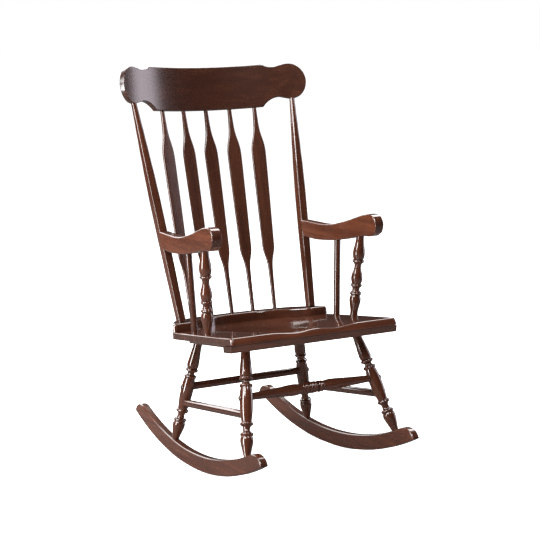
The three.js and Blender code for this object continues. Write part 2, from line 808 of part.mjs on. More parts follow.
const buttons = {};
for (const [end, [, centre]] of [["front", frontAxis], ["rear", rearAxis]]) {
  const surface = centre.clone().add(point(legDiameter / 2, 0, 0));
  const outer = surface.clone().add(point(buttonHeight, 0, 0));
  const inner = surface.clone().sub(point(buttonStemLength, 0, 0));
  const dome = [
    [0, buttonDiameter / 4],
    [buttonHeight / 5, (buttonDiameter * 3) / 8],
    [buttonHeight / 2, buttonDiameter / 2],
    [buttonHeight * 2, buttonDiameter / 2],
  ];
  const cap = turned(dome, outer, surface, dowelSides).subtract(legs[`${end}Envelope`]);
  const stem = rod(outer, inner, buttonStemDiameter, -buttonHeight / 2, 0, dowelSides);
  buttons[end] = cap.add(stem);
  legs[end] = legs[end].subtract(rod(outer, inner, buttonStemDiameter + 2 * fitGap, 0, fitGap));
}

// Crest: columns of a bent board with a scalloped outline, leaning back

const crestRecline = Math.atan(crestReclineShare);
const crestPlace = new THREE.Matrix4().makeRotationX(-crestRecline);
crestPlace.setPosition(0, crestSetBack, crestBottomHeight);

// A point of the crest, by how far across, how high up its face and how deep behind its front face.
function onCrest(x, height, depth) {
  const angle = Math.asin(x / crestBendRadius);
  const radius = crestBendRadius + depth;
  const spot = point(radius * Math.sin(angle), radius * Math.cos(angle) - crestBendRadius, height);
  return spot.applyMatrix4(crestPlace);
}

// The crest's solid, or a thicker block of its outline that cuts the tops of the posts.
function crestSolid(grow, thickening = 0) {
  const rings = [];
  for (let k = -crestColumnsPerSide; k <= crestColumnsPerSide; k++) {
    const side = Math.abs(k) / crestColumnsPerSide;
    const across = Math.sin((side * Math.PI) / 2) * 0.5 + side * 0.5;
    const bottom = read(crestBottomShares, across) * crestHeight - grow;
    const top = read(crestTopShares, across) * crestHeight + grow;
    const x = (Math.sign(k) * across * crestWidth) / 2;
    const edge = Math.min(crestEdge, (top - bottom) / 2);
    const ring = section(crestThickness + 2 * (grow + thickening), top - bottom, edge, 2);
    rings.push(ring.map((p) => onCrest(x, (top + bottom) / 2 + p.y, crestThickness / 2 + p.x)));
  }
  return loft(rings);
}

let crest = crestSolid(0);
const postTopCutter = crestSolid(fitGap, postDepth);

// Back posts: a rounded square section that turns round and slim at the crest

const crestBottomAt = (x) => read(crestBottomShares, (2 * x) / crestWidth) * crestHeight;
const postFoot = onSeat(postRailSpread, postRailReach, railTop);
const postTop = onCrest(postCrestSpread, crestBottomAt(postCrestSpread), crestThickness / 2);
const postPlace = axisPlace(postFoot, postTop, point(0, -1, 0));
const postLength = postFoot.distanceTo(postTop);
const onPost = (x, height, z) => point(x, height, z).applyMatrix4(postPlace);

function postRing(height, size, rounding) {
  const radius = (rounding * roundestShare * Math.min(postWidth, postDepth) * size) / 2;
  const ring = section(postWidth * size, postDepth * size, radius, 3);
  return ring.map((p) => onPost(p.x, height, p.y));
}

const rows = postSectionShares.map(([place, size, rounding]) => [place * postLength, size, rounding]);
const [firstRow, lastRow] = [rows[0], rows[rows.length - 1]];
rows.unshift([-postDepth / 2, firstRow[1], firstRow[2]]);
rows.push([postLength + postDepth / 2, lastRow[1], lastRow[2]]);
const belowRail = new THREE.BoxGeometry(seatFrontWidth, seatRearReach, 2 * postDepth);
belowRail.translate(0, seatRearReach / 2, railTop + fitGap - postDepth).applyMatrix4(seatPlace);
const postShaft = loft(rows.map((row) => postRing(...row)));
let post = postShaft.subtract(solidOf(belowRail)).subtract(postTopCutter);
post = post.add(rod(postTop, postFoot, postTenonDiameter, -postDepth, postTenonLength));
post = post.add(rod(postFoot, postTop, postCrestTenonDiameter, -postDepth, postCrestTenonLength));
const railHole = [postTenonDiameter + 2 * fitGap, -postDepth, postTenonLength + fitGap];
const postSocket = rod(postTop, postFoot, ...railHole);
const crestHole = [postCrestTenonDiameter + 2 * fitGap, -postDepth, postCrestTenonLength + fitGap];
const crestSocket = rod(postFoot, postTop, ...crestHole);
backRail = backRail.subtract(postSocket).subtract(mirrored(postSocket));
crest = crest.subtract(crestSocket).subtract(mirrored(crestSocket));

// Slats: round necks in the crest and the rail, and a flat blade between them

const slats = [];
for (const place of [-2, -1, 0, 1, 2]) {
  const footV = slatRailReach - slatRailBow * (place / 2) ** 2;
  const foot = onSeat(place * slatRailSpacing, footV, railTop);
  const x = place * slatCrestSpacing;
  const top = onCrest(x, 0, crestThickness / 2);
  const facing = point(-x / crestBendRadius, -1, 0);
  const frame = axisPlace(foot, top, facing);
  const length = foot.distanceTo(top);
  const stations = slatSectionShares.map(([share, wide, thin]) => [share * length, wide, thin]);
  stations.unshift([-slatTenonLength, 0, 0]);
  stations.push([length + slatTenonLength, 0, 0]);
  const rings = stations.map(([height, wide, thin]) => {
    const width = THREE.MathUtils.lerp(slatNeckDiameter, slatWidth, wide);
    const depth = THREE.MathUtils.lerp(slatNeckDiameter, slatThickness, thin);
    return section(width, depth, depth / 2, 3).map((p) => point(p.x, height, p.y).applyMatrix4(frame));
  });
  const holeRings = [-slatTenonLength - fitGap, length + slatTenonLength + fitGap].map((height) => {
    const ring = section(slatNeckDiameter + 2 * fitGap, slatNeckDiameter + 2 * fitGap, slatNeckDiameter, 3);
    return ring.map((p) => point(p.x, height, p.y).applyMatrix4(frame));
  });
  const hole = loft(holeRings);
  slats.push({ solid: loft(rings), foot });
  backRail = backRail.subtract(hole);
  crest = crest.subtract(hole);
}

// Arms: a scroll outline given a width, butted on the post

const armMiddleHeight = armUndersideHeight + (armDepth * armOutlineShares[0][1]) / 2;
const postAtArm = along(postFoot, postTop, (armMiddleHeight - postFoot.z) / (postTop.z - postFoot.z));
const armFront = point(armFrontSpread, -armFrontReach, armUndersideHeight);
const armRear = point(postAtArm.x, postAtArm.y, armUndersideHeight);
const armLength = armFront.distanceTo(armRear);
const armRun = armRear.clone().sub(armFront).normalize();
const armPlace = new THREE.Matrix4().makeBasis(armRun, point(0, 0, 1), armRun.clone().cross(point(0, 0, 1)));
armPlace.setPosition(armFront);
const onArm = ([backwards, up]) =>
  point(backwards * armLength, up * armDepth, -armPostInset).applyMatrix4(armPlace);

function armSolid(grow) {
  const outline = new THREE.Shape();
  const points = armOutlineShares.map(([backwards, up]) => {
    return new THREE.Vector2(backwards * armLength, up * armDepth);
  });
  points.unshift(points[0].clone().add(new THREE.Vector2(postDepth, 0)));
  points.push(points[points.length - 1].clone().add(new THREE.Vector2(postDepth, 0)));
  outline.moveTo(points[0].x, points[0].y);
  outline.splineThru(points.slice(1));
  const geometry = new THREE.ExtrudeGeometry(outline, {
    depth: armWidth - 2 * armEdge,
    bevelEnabled: true,
    bevelThickness: armEdge,
    bevelSize: armEdge,
    bevelOffset: grow - armEdge,
    bevelSegments: 1,
    curveSegments: 1,
  });
  return solidOf(geometry.translate(0, 0, armEdge - armWidth / 2).applyMatrix4(armPlace));
}

const postFrontSpace = postDepth / 2 + fitGap;
const armEndCutter = new THREE.BoxGeometry(3 * armWidth, postLength, 4 * postDepth);
armEndCutter.translate(0, postLength / 2, postFrontSpace - 2 * postDepth).applyMatrix4(postPlace);
let arm = armSolid(0).subtract(solidOf(armEndCutter));
const armEnvelope = armSolid(fitGap);

// Turned arm post and plain dowel, from the seat to the arm's underside

const armPostFoot = onSeat(armPostSpread, -armPostReach, 0);
const armPostTop = onArm(armPostTopShares);
const underSeatTop = new THREE.BoxGeometry(seatFrontWidth * 2, seatFrontReach, 2 * armPostDiameter);
underSeatTop.translate(0, -armPostReach, fitGap - armPostDiameter).applyMatrix4(seatPlace);
let armPost = turnedByShares(
  armPostTurningShares,
  armPostDiameter,
  armPostTop,
  armPostFoot,
  0,
  armPostDiameter / 2,
);
armPost = armPost.subtract(solidOf(underSeatTop)).subtract(armEnvelope);
const armPostPeg = (grow) =>
  rod(
    armPostTop,
    armPostFoot,
    armPostTenonDiameter + 2 * grow,
    armPostTenonLength + grow,
    armPostTenonLength + grow,
  );
armPost = armPost.add(armPostPeg(0));

const armDowelFoot = onSeat(armDowelSpread, -armDowelReach, 0);
const armDowelTop = onArm(armDowelTopShares);
const armDowelRod = (grow) =>
  rod(armDowelFoot, armDowelTop, armDowelDiameter + 2 * grow, armDowelSocket + grow, armDowelSocket + grow);
const armDowel = armDowelRod(0);
for (const socket of [armPostPeg(fitGap), armDowelRod(fitGap)]) {
  seatPanel = seatPanel.subtract(socket).subtract(mirrored(socket));
  arm = arm.subtract(socket);
}

// Screws: up through the rockers into the legs, up through the cleats and front rail into the
// seat, and forward through the posts into the arms

const screws = [];
for (const [end, reach] of [["front", -frontFootReach], ["rear", rearFootReach]]) {
  const angle = footAngle(reach);
  const surface = onRocker(angle, 0, 0);
  const head = onRocker(angle, screwSink, 0);
  const tip = onRocker(angle, rockerDepth + screwBite, 0);
  const bore = screwBore(surface, head, tip);
  rocker = rocker.subtract(bore);
  legs[end] = legs[end].subtract(bore);
  screws.push({ name: `rocker_screw_${end}`, solid: screwBetween(head, tip, 0), head });
}
cleatScrewShares.forEach((share, index) => {
  const x = THREE.MathUtils.lerp(rearLegTop, frontLegTop, share);
  const v = THREE.MathUtils.lerp(rearLegTopReach, -frontLegTopReach, share);
  const surface = onSeat(x, v, cleatUnderside);
  const head = onSeat(x, v, cleatUnderside + screwSink);
  const tip = onSeat(x, v, screwBite - seatThickness);
  const bore = screwBore(surface, head, tip);
  cleat = cleat.subtract(bore);
  seatPanel = seatPanel.subtract(bore).subtract(mirrored(bore));
  screws.push({ name: `cleat_screw_${index + 1}`, solid: screwBetween(head, tip, 0), head });
});
{
  const v = (frontRailFront + frontRailRear) / 2;
  const underside = cleatTop - frontRailHeight;
  const surface = onSeat(frontRailScrewSpread, v, underside);
  const head = onSeat(frontRailScrewSpread, v, underside + screwSink);
  const tip = onSeat(frontRailScrewSpread, v, screwBite - seatThickness);
  const bore = screwBore(surface, head, tip);
  frontRail = frontRail.subtract(bore).subtract(mirrored(bore));
  seatPanel = seatPanel.subtract(bore).subtract(mirrored(bore));
  screws.push({ name: "front_rail_screw", solid: screwBetween(head, tip, 0), head });
}
{
  const rise = armUndersideHeight + armDepth * armScrewRiseShare;
  const height = ((rise - postFoot.z) / (postTop.z - postFoot.z)) * postLength;
  const surface = onPost(0, height, -postDepth / 2);
  const head = onPost(0, height, screwSink - postDepth / 2);
  const tip = onPost(0, height, postDepth / 2 + 2 * screwBite);
  const bore = screwBore(surface, head, tip);
  post = post.subtract(bore);
  arm = arm.subtract(bore);
  screws.push({ name: "arm_screw", solid: screwBetween(head, tip, 0), head });
}

// Pins: from the crest's rear face through the tenon of each post

const pinHeight = crestBottomAt(postCrestSpread) + postCrestTenonLength / 2;
const pinMouth = onCrest(postCrestSpread, pinHeight, crestThickness);
const pinEnd = onCrest(postCrestSpread, pinHeight, crestThickness - pinDepth);
const crestPin = rod(pinMouth, pinEnd, pinDiameter, 0, 0, screwSides);
const pinBore = rod(pinMouth, pinEnd, pinDiameter + 2 * fitGap, overrun, fitGap, screwSides);
crest = crest.subtract(pinBore).subtract(mirrored(pinBore));
post = post.subtract(pinBore);

// Every piece takes its place in the scene

addPair(underframe, "rocker", rocker, rockerPlace);
for (const end of ["front", "rear"]) {
  const [top, foot] = legAxes[end];
  addPair(underframe, `leg_${end}`, legs[end], axisPlace(top, foot, point(0, -1, 0)));
  addPair(underframe, `leg_button_${end}`, buttons[end], at(end === "front" ? frontAxis[1] : rearAxis[1]));
}
addPiece(underframe, "stretcher_front", frontStretcher.solid, at(along(...frontAxis, 0.5)));
addPiece(underframe, "stretcher_rear", rearStretcher.solid, at(along(...rearAxis, 0.5)));
addPair(underframe, "stretcher_side", sideStretcher.solid, axisPlace(...sideAxis, point(0, 0, 1)));

addPiece(seat, "seat_panel", seatPanel, seatPlace);
addPiece(seat, "seat_front_rail", frontRail, seatPlace);
addPair(seat, "seat_cleat", cleat, seatPlace);
addPiece(seat, "back_rail", backRail, seatPlace);

addPiece(back, "crest_rail", crest, crestPlace);
addPair(back, "back_post", post, postPlace);
slats.forEach(({ solid, foot }, index) => addPiece(back, `arrow_slat_${index + 1}`, solid, at(foot)));
addPair(back, "crest_pin", crestPin, at(pinMouth));

addPair(arms, "arm", arm, armPlace);
addPair(arms, "arm_post", armPost, at(armPostFoot));
addPair(arms, "arm_dowel", armDowel, at(armDowelFoot));

for (const { name, solid, head } of screws) addPair(underframe, name, solid, at(head), looks.steel);

// The origin lies under the middle of the chair, at the lowest point of the rockers

body.updateMatrixWorld(true);
const box = new THREE.Box3().setFromObject(body, true);
const middle = box.getCenter(point(0, 0, 0));
body.position.set(-middle.x, -middle.y, -box.min.z);
const chair = new THREE.Group();
chair.add(body);

export default chair;
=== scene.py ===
import math
import random

import bmesh
import bpy
from mathutils import Matrix, Vector


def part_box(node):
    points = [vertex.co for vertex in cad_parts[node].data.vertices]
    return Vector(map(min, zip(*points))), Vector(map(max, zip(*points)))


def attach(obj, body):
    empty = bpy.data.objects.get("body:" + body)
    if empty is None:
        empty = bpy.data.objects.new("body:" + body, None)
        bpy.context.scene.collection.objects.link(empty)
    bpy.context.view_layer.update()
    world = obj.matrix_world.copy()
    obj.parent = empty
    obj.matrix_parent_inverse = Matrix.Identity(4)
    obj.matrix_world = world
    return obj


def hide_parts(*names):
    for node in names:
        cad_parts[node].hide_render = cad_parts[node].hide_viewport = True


# %% [markdown]
# # A high-backed rocking chair in dark stained wood
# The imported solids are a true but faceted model. This lesson loads them as a fixed frame and
# dresses each one with a smooth piece in the same place: turned legs, bent crest, hollowed seat,
# scroll arms. Lengths are in millimetres until a piece is finished, when it becomes metres.

# %% Load the frame
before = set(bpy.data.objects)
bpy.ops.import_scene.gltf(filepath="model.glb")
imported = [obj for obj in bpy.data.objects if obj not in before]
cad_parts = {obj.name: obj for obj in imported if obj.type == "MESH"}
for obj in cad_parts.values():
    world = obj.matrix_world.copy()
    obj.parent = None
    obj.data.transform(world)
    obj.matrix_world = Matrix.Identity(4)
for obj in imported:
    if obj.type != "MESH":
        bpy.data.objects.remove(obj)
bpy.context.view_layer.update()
print("frame loaded:", len(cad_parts), "solids")

# %% [markdown]
# ## The chair's main sizes
# On the real chair everything hangs on the seat: it is tilted a little to the back, the legs
# splay from it and the back leans from it. So the sizes start with the seat's tilted frame, and
# the other frames (rocker, crest, posts) follow from a few lengths. The same values could be read
# off each solid's box, but named lengths keep the curves exact. A place on the seat is given as x
# across it, v backwards along its tilted top and w above that top.

# %% Sizes and frames
MM = 0.001
SEAT_ORIGIN_BACK = 15.49  # how far the seat's origin lies behind the middle of the chair
SEAT_HEIGHT = 389.6
SEAT_TILT = math.atan(0.13)
SEAT_THICKNESS = 21.2
SEAT_FRONT = 264  # how far its front edge lies before its origin
GAP = 0.3  # the clearance between two solids

seat_origin = Matrix.Translation((0, SEAT_ORIGIN_BACK, SEAT_HEIGHT))
seat_frame = seat_origin @ Matrix.Rotation(-SEAT_TILT, 4, "X")


def on_seat(x, v, w):
    return seat_frame @ Vector((x, v, w))


def aim(start, end, facing=(0, -1, 0)):
    z = (end - start).normalized()
    x = Vector(facing).cross(z).normalized()
    turn = Matrix((x, z.cross(x), z)).transposed().to_4x4()
    return Matrix.Translation(start) @ turn


print("seat's front edge at", round(on_seat(0, -SEAT_FRONT, 0).z), "mm")

# %% [markdown]
# ## Smooth outlines from a few points
# A maker draws a scroll or a turning from a few marked points and joins them with a fair curve.
# The helper does the same: it runs a smooth curve through the points and breaks it only at
# corners, such as the foot of a bead. A point is (a, b), and a corner is (a, b, 1). A second helper
# reads a curve's height at any place across.


# %% Fair curves
def fair(points, steps=5):
    runs, run = [], []
    for point in points:
        run.append(Vector(point[:2]))
        if len(point) > 2:
            runs.append(run)
            run = [Vector(point[:2])]
    runs.append(run)
    curve = []
    for run in (r for r in runs if len(r) > 1):
        ends = [2 * run[0] - run[1]] + run + [2 * run[-1] - run[-2]]
        for a, b, c, d in zip(ends, ends[1:], ends[2:], ends[3:]):
            for k in range(steps):
                t = k / steps
                bow = (2 * a - 5 * b + 4 * c - d) * t**2
                twist = (3 * b - a - 3 * c + d) * t**3
                curve.append(0.5 * (2 * b + (c - a) * t + bow + twist))
    curve.append(runs[-1][-1] if len(runs[-1]) > 1 else Vector(points[-1][:2]))
    return curve


def height_at(curve, x):
    for a, b in zip(curve, curve[1:]):
        if a.x <= x <= b.x:
            return a.y + (b.y - a.y) * (x - a.x) / max(b.x - a.x, 1e-9)
    return curve[-1].y


print("a fair curve through 3 points has", len(fair([(0, 0), (1, 1), (2, 0)])), "points")

# %% [markdown]
# ## The finish: dark stained wood under a semi-gloss lacquer
# The real finish is a red-brown stain that sinks deeper into the open grain, under a clear coat.
# It could be painted as an image, but a procedural grain follows every piece and needs no file.
# Each piece carries an attribute called "grain": the place of each point in the piece's own frame
# with Z along the wood. Noise stretched along Z gives the figure, finer noise gives the pores, and
# a clear coat on the shader gives the lacquer's second, sharper shine. Each variant's tone holds the
# stain together with painted light and shade: the crest is darkened, and the arms and the seat are
# lightened beyond what the lamps give them. The turned pieces and the seat got more lacquer, so
# there are six variants.
# End grain drinks more stain, so it comes out darker: a second attribute, "end_grain", says how far
# each point of the surface faces along the wood.


# %% Shader helpers
def node(tree, kind, **settings):
    made = tree.nodes.new(kind)
    for key, value in settings.items():
        if key in made.inputs:
            made.inputs[key].default_value = value
        else:
            setattr(made, key, value)
    return made


def ramp(tree, stops):
    made = tree.nodes.new("ShaderNodeValToRGB")
    while len(made.color_ramp.elements) < len(stops):
        made.color_ramp.elements.new(0.5)
    for element, (position, colour) in zip(made.color_ramp.elements, stops):
        element.position = position
        element.color = (*colour, 1)
    return made


def remap(tree, source, low, high, new_low, new_high):
    made = node(tree, "ShaderNodeMapRange")
    for key, value in (("From Min", low), ("From Max", high), ("To Min", new_low), ("To Max", new_high)):
        made.inputs[key].default_value = value
    tree.links.new(source, made.inputs["Value"])
    return made.outputs["Result"]


# %% Stained wood
FIGURE_SCALE = (0.055, 0.055, 0.0045)  # noise per mm: twice across the wood, then along it
PORE_SCALE = (0.9, 0.9, 0.03)
STAIN_STOPS = [
    (0.28, (0.044, 0.0122, 0.0054)),
    (0.52, (0.064, 0.0184, 0.0084)),
    (0.76, (0.094, 0.0285, 0.0135)),
]
PORE_STOPS = [(0.3, (0.55, 0.5, 0.48)), (0.5, (1, 1, 1))]
PORE_STRENGTH = 0.75
MIX_FLOATS = (2, 3)  # the Mix node's sockets go by number: its two plain inputs,
MIX_COLOURS = (6, 7)  # its two colour inputs
MIX_COLOUR_OUT = 2  # and its colour output


def stained_wood(name, stain_and_light, roughness, coat_roughness):
    material = bpy.data.materials.new(name)
    material.use_nodes = True
    tree = material.node_tree
    link = tree.links.new
    shader = tree.nodes["Principled BSDF"]
    grain = node(tree, "ShaderNodeAttribute", attribute_name="grain")
    lengthwise = node(tree, "ShaderNodeMapping")
    lengthwise.inputs["Scale"].default_value = FIGURE_SCALE
    link(grain.outputs["Vector"], lengthwise.inputs["Vector"])
    figure = node(tree, "ShaderNodeTexNoise", Scale=1.0, Detail=5.0, Roughness=0.55, Distortion=0.25)
    link(lengthwise.outputs["Vector"], figure.inputs["Vector"])
    colours = ramp(tree, [(place, [stain_and_light * c for c in colour]) for place, colour in STAIN_STOPS])
    link(figure.outputs["Fac"], colours.inputs["Fac"])

    fine = node(tree, "ShaderNodeMapping")
    fine.inputs["Scale"].default_value = PORE_SCALE
    link(grain.outputs["Vector"], fine.inputs["Vector"])
    pores = node(tree, "ShaderNodeTexNoise", Scale=1.0, Detail=3.0, Roughness=0.6)
    link(fine.outputs["Vector"], pores.inputs["Vector"])
    pore_shade = ramp(tree, PORE_STOPS)
    link(pores.outputs["Fac"], pore_shade.inputs["Fac"])
    stain = node(tree, "ShaderNodeMix", data_type="RGBA", blend_type="MULTIPLY")
    stain.inputs[0].default_value = PORE_STRENGTH
    link(colours.outputs["Color"], stain.inputs[MIX_COLOURS[0]])
    link(pore_shade.outputs["Color"], stain.inputs[MIX_COLOURS[1]])
    ends = node(tree, "ShaderNodeAttribute", attribute_name="end_grain")
    soaked = node(tree, "ShaderNodeVectorMath", operation="SCALE")
    link(stain.outputs[MIX_COLOUR_OUT], soaked.inputs[0])
    link(remap(tree, ends.outputs["Fac"], 0.3, 0.95, 1.0, 0.5), soaked.inputs["Scale"])
    link(soaked.outputs["Vector"], shader.inputs["Base Color"])

    sheen = remap(tree, figure.outputs["Fac"], 0.35, 0.65, roughness + 0.05, roughness - 0.04)
    link(sheen, shader.inputs["Roughness"])
    relief = node(tree, "ShaderNodeBump", Strength=0.08, Distance=0.0002)
    link(pores.outputs["Fac"], relief.inputs["Height"])
    link(relief.outputs["Normal"], shader.inputs["Normal"])
    shader.inputs["Coat Weight"].default_value = 1.0
    shader.inputs["Coat Roughness"].default_value = coat_roughness
    shader.inputs["Coat IOR"].default_value = 1.75
    shader.inputs["Specular IOR Level"].default_value = 0.05
    return material


# Each tone below is the stain together with painted light and shade: the crest's 0.66 is painted shade, and
# the arms' 1.35 and the seat's 1.3 are painted light.
wood = stained_wood("stained_wood", 1.04, 0.4, 0.16)
slat_wood = stained_wood("slat_wood", 1.0, 0.4, 0.2)
turned_wood = stained_wood("turned_wood", 0.96, 0.36, 0.07)
crest_wood = stained_wood("crest_wood", 0.66, 0.42, 0.2)
arm_wood = stained_wood("arm_wood", 1.35, 0.4, 0.11)
seat_wood = stained_wood("seat_wood", 1.3, 0.36, 0.07)
print("finishes:", [m.name for m in (wood, slat_wood, turned_wood, crest_wood, arm_wood, seat_wood)])

# %% [markdown]
# ## Screws
# The chair is held by steel screws that sit deep in their bores, and by two wooden pins at the
# crest. Their solids are right as they are, so they only take a finish. Brushed steel is a metal
# whose roughness varies finely, which Object coordinates can give without any unwrapping. The pins
# have no "grain" attribute, so their copy of the wood takes its places from Object coordinates too.


# %% Steel on the screws and wood on the pins
def plain_steel():
    material = bpy.data.materials.new("screw_steel")
    material.use_nodes = True
    tree = material.node_tree
    shader = tree.nodes["Principled BSDF"]
    shader.inputs["Base Color"].default_value = (0.55, 0.54, 0.52, 1)
    shader.inputs["Metallic"].default_value = 1
    place = node(tree, "ShaderNodeTexCoord")
    rings = node(tree, "ShaderNodeTexNoise", Scale=900.0, Detail=2.0)
    tree.links.new(place.outputs["Object"], rings.inputs["Vector"])
    tree.links.new(remap(tree, rings.outputs["Fac"], 0, 1, 0.25, 0.45), shader.inputs["Roughness"])
    return material


def pin_wood():
    material = wood.copy()
    material.name = "pin_wood"
    tree = material.node_tree
    for attribute in [n for n in tree.nodes if n.type == "ATTRIBUTE" and n.attribute_name == "grain"]:
        place = node(tree, "ShaderNodeTexCoord")
        larger = node(tree, "ShaderNodeVectorMath", operation="SCALE")
        larger.inputs["Scale"].default_value = 1 / MM
        tree.links.new(place.outputs["Object"], larger.inputs[0])
        for wire in list(attribute.outputs["Vector"].links):
            tree.links.new(larger.outputs["Vector"], wire.to_socket)
        tree.nodes.remove(attribute)
    return material


steel = plain_steel()
pin_finish = pin_wood()
kept = [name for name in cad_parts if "screw" in name or "pin" in name]
for name in kept:
    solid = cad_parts[name]
    solid.data.materials.clear()
    solid.data.materials.append(steel if "screw" in name else pin_finish)
print("kept solids with a new finish:", len(kept))

# %% [markdown]
# ## Finishing a piece
# Every new piece goes through the same last steps: doubles are merged, normals point outwards, the
# two grain attributes are written, millimetres become metres, and the mesh gets smooth shading that
# breaks at real edges. A weighted-normal modifier keeps the broad faces flat beside their rounded
# edges. A mirrored copy serves the chair's other side.


# %% Finish, mirror and compare with the solid
GRAIN_SHIFT = 900  # so that no two pieces show the same figure


def finish(bm, name, grain_frame, stain=wood, crease=38):
    bmesh.ops.remove_doubles(bm, verts=bm.verts, dist=0.002)
    bmesh.ops.recalc_face_normals(bm, faces=bm.faces)
    layer = bm.verts.layers.float_vector.new("grain")
    inverse = grain_frame.inverted()
    shift = Vector((random.Random(name).uniform(-GRAIN_SHIFT, GRAIN_SHIFT) for _ in range(3)))
    ends = bm.verts.layers.float.new("end_grain")
    bm.normal_update()
    for vert in bm.verts:
        vert[layer] = inverse @ vert.co + shift
        vert[ends] = (inverse.to_3x3() @ vert.normal).z ** 2
    for face in bm.faces:
        face.smooth = True
    bmesh.ops.scale(bm, vec=(MM, MM, MM), verts=bm.verts)
    mesh = bpy.data.meshes.new(name)
    bm.to_mesh(mesh)
    bm.free()
    mesh.set_sharp_from_angle(angle=math.radians(crease))
    mesh.materials.append(stain)
    piece = bpy.data.objects.new(name, mesh)
    bpy.context.scene.collection.objects.link(piece)
    weighted = piece.modifiers.new("flat_faces", "WEIGHTED_NORMAL")
    weighted.keep_sharp = True
    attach(piece, "root")
    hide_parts(name)
    low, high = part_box(name)
    own_low = Vector(min(v.co[i] for v in mesh.vertices) for i in range(3))
    own_high = Vector(max(v.co[i] for v in mesh.vertices) for i in range(3))
    off = max(abs(a - b) for a, b in zip((*low, *high), (*own_low, *own_high)))
    print(f"{name}: {len(mesh.vertices)} points, box within {off / MM:.1f} mm of its solid")


def finish_pair(bm, name, grain_frame, stain=wood, crease=38):
    other = bm.copy()
    bmesh.ops.scale(other, vec=(-1, 1, 1), verts=other.verts)
    mirror = Matrix.Scale(-1, 4, (1, 0, 0))
    finish(bm, name + "_right", grain_frame, stain, crease)
    finish(other, name + "_left", mirror @ grain_frame @ mirror, stain, crease)


# %% [markdown]
# ## Three ways of making wood
# The chair's pieces are made in three ways, and so are the meshes. Turned pieces are a profile
# spun about its axis. Boards are an outline given a thickness, with their edges rounded over.
# Shaped sticks are a section that changes along its length, bridged from ring to ring.


# %% A turning, and a saw cut
def turning(profile, place, sides=48):
    bm = bmesh.new()
    rows = [(0, profile[0][0])] + [(r, z) for z, r in profile] + [(0, profile[-1][0])]
    verts = [bm.verts.new((r, 0, z)) for r, z in rows]
    edges = [bm.edges.new(pair) for pair in zip(verts, verts[1:])]
    bmesh.ops.spin(
        bm,
        geom=verts + edges,
        cent=(0, 0, 0),
        axis=(0, 0, 1),
        angle=2 * math.pi,
        steps=sides,
        use_merge=True,
    )
    bmesh.ops.remove_doubles(bm, verts=bm.verts, dist=0.001)
    bmesh.ops.recalc_face_normals(bm, faces=bm.faces)
    bm.transform(place)
    return bm


def cut_off(bm, point, normal):
    made_cut = bmesh.ops.bisect_plane(
        bm,
        geom=bm.verts[:] + bm.edges[:] + bm.faces[:],
        dist=0.0001,
        plane_co=point,
        plane_no=normal,
        clear_outer=True,
    )
    rim = [e for e in made_cut["geom_cut"] if isinstance(e, bmesh.types.BMEdge)]
    bmesh.ops.holes_fill(bm, edges=rim, sides=0)
    return bm


# %% A board
def board(outline, thickness, rounding, segments=3, under=None):
    bm = bmesh.new()
    verts = [bm.verts.new((p.x, p.y, 0)) for p in outline]
    edges = [bm.edges.new(pair) for pair in zip(verts, verts[1:] + verts[:1])]
    bmesh.ops.contextual_create(bm, geom=edges)
    bmesh.ops.remove_doubles(bm, verts=bm.verts, dist=0.05)
    raised = bmesh.ops.extrude_face_region(bm, geom=bm.faces[:], use_keep_orig=True)
    top = [v for v in raised["geom"] if isinstance(v, bmesh.types.BMVert)]
    bmesh.ops.translate(bm, verts=top, vec=(0, 0, thickness))
    bmesh.ops.recalc_face_normals(bm, faces=bm.faces)
    level = [e for e in bm.edges if abs(e.verts[0].co.z - e.verts[1].co.z) < 0.001]
    high = [e for e in level if e.verts[0].co.z > thickness / 2]
    low = [e for e in level if e.verts[0].co.z < thickness / 2]
    for rim, offset in ((high, rounding), (low, rounding if under is None else under)):
        bmesh.ops.bevel(
            bm,
            geom=rim,
            offset=offset,
            offset_type="OFFSET",
            segments=segments,
            profile=0.5,
            affect="EDGES",
            clamp_overlap=True,
            material=-1,
        )
    return bm


# %% A shaped stick
def rounded(width, depth, radius, steps=5):
    radius = min(radius, 0.498 * width, 0.498 * depth)
    ring = []
    for sx, sy, quarter in ((1, 1, 0), (-1, 1, 1), (-1, -1, 2), (1, -1, 3)):
        for k in range(steps):
            angle = (quarter + k / (steps - 1)) * math.pi / 2
            x = sx * (width / 2 - radius) + radius * math.cos(angle)
            y = sy * (depth / 2 - radius) + radius * math.sin(angle)
            ring.append(Vector((x, y, 0)))
    return ring


def stick(rings):
    bm = bmesh.new()
    loops = []
    for ring in rings:
        circle = bmesh.ops.create_circle(bm, cap_ends=False, radius=1, segments=len(ring))["verts"]
        for vert, place in zip(circle, ring):
            vert.co = place
        around = set(circle)
        loops.append([e for e in {e for v in circle for e in v.link_edges} if set(e.verts) <= around])
    for one, other in zip(loops, loops[1:]):
        bmesh.ops.bridge_loops(bm, edges=one + other)
    for end in (loops[0], loops[-1]):
        bmesh.ops.contextual_create(bm, geom=end)
    return bm


print("three ways of making are ready")

# %% [markdown]
# ## Rockers
# Each rocker is sawn from a board: a circular arc underneath, an even depth, a nose rolled over at
# the front and a shorter roll at the back. The outline is drawn in the board's plane, where the arc
# is a spin about one centre. The pair closes in a little towards the back.

# %% Rocker outline
ROCKER_RADIUS = 850
ROCKER_DEPTH = 45
ROCKER_THICKNESS = 24
ROCKER_SPREAD = 467 / 2
ROCKER_SPLAY = 0.036
ROCKER_FRONT = 411
ROCKER_REAR = 364
ROCKER_FLAT_DROP = 0.53
ROCKER_BACK = 8
ROCKER_EDGE = 4.5
NOSE_ROLL = (50, 6)  # how far the roll runs and how deep the face before it is
TAIL_ROLL = (46, 8)
ROLL_STEPS = 12

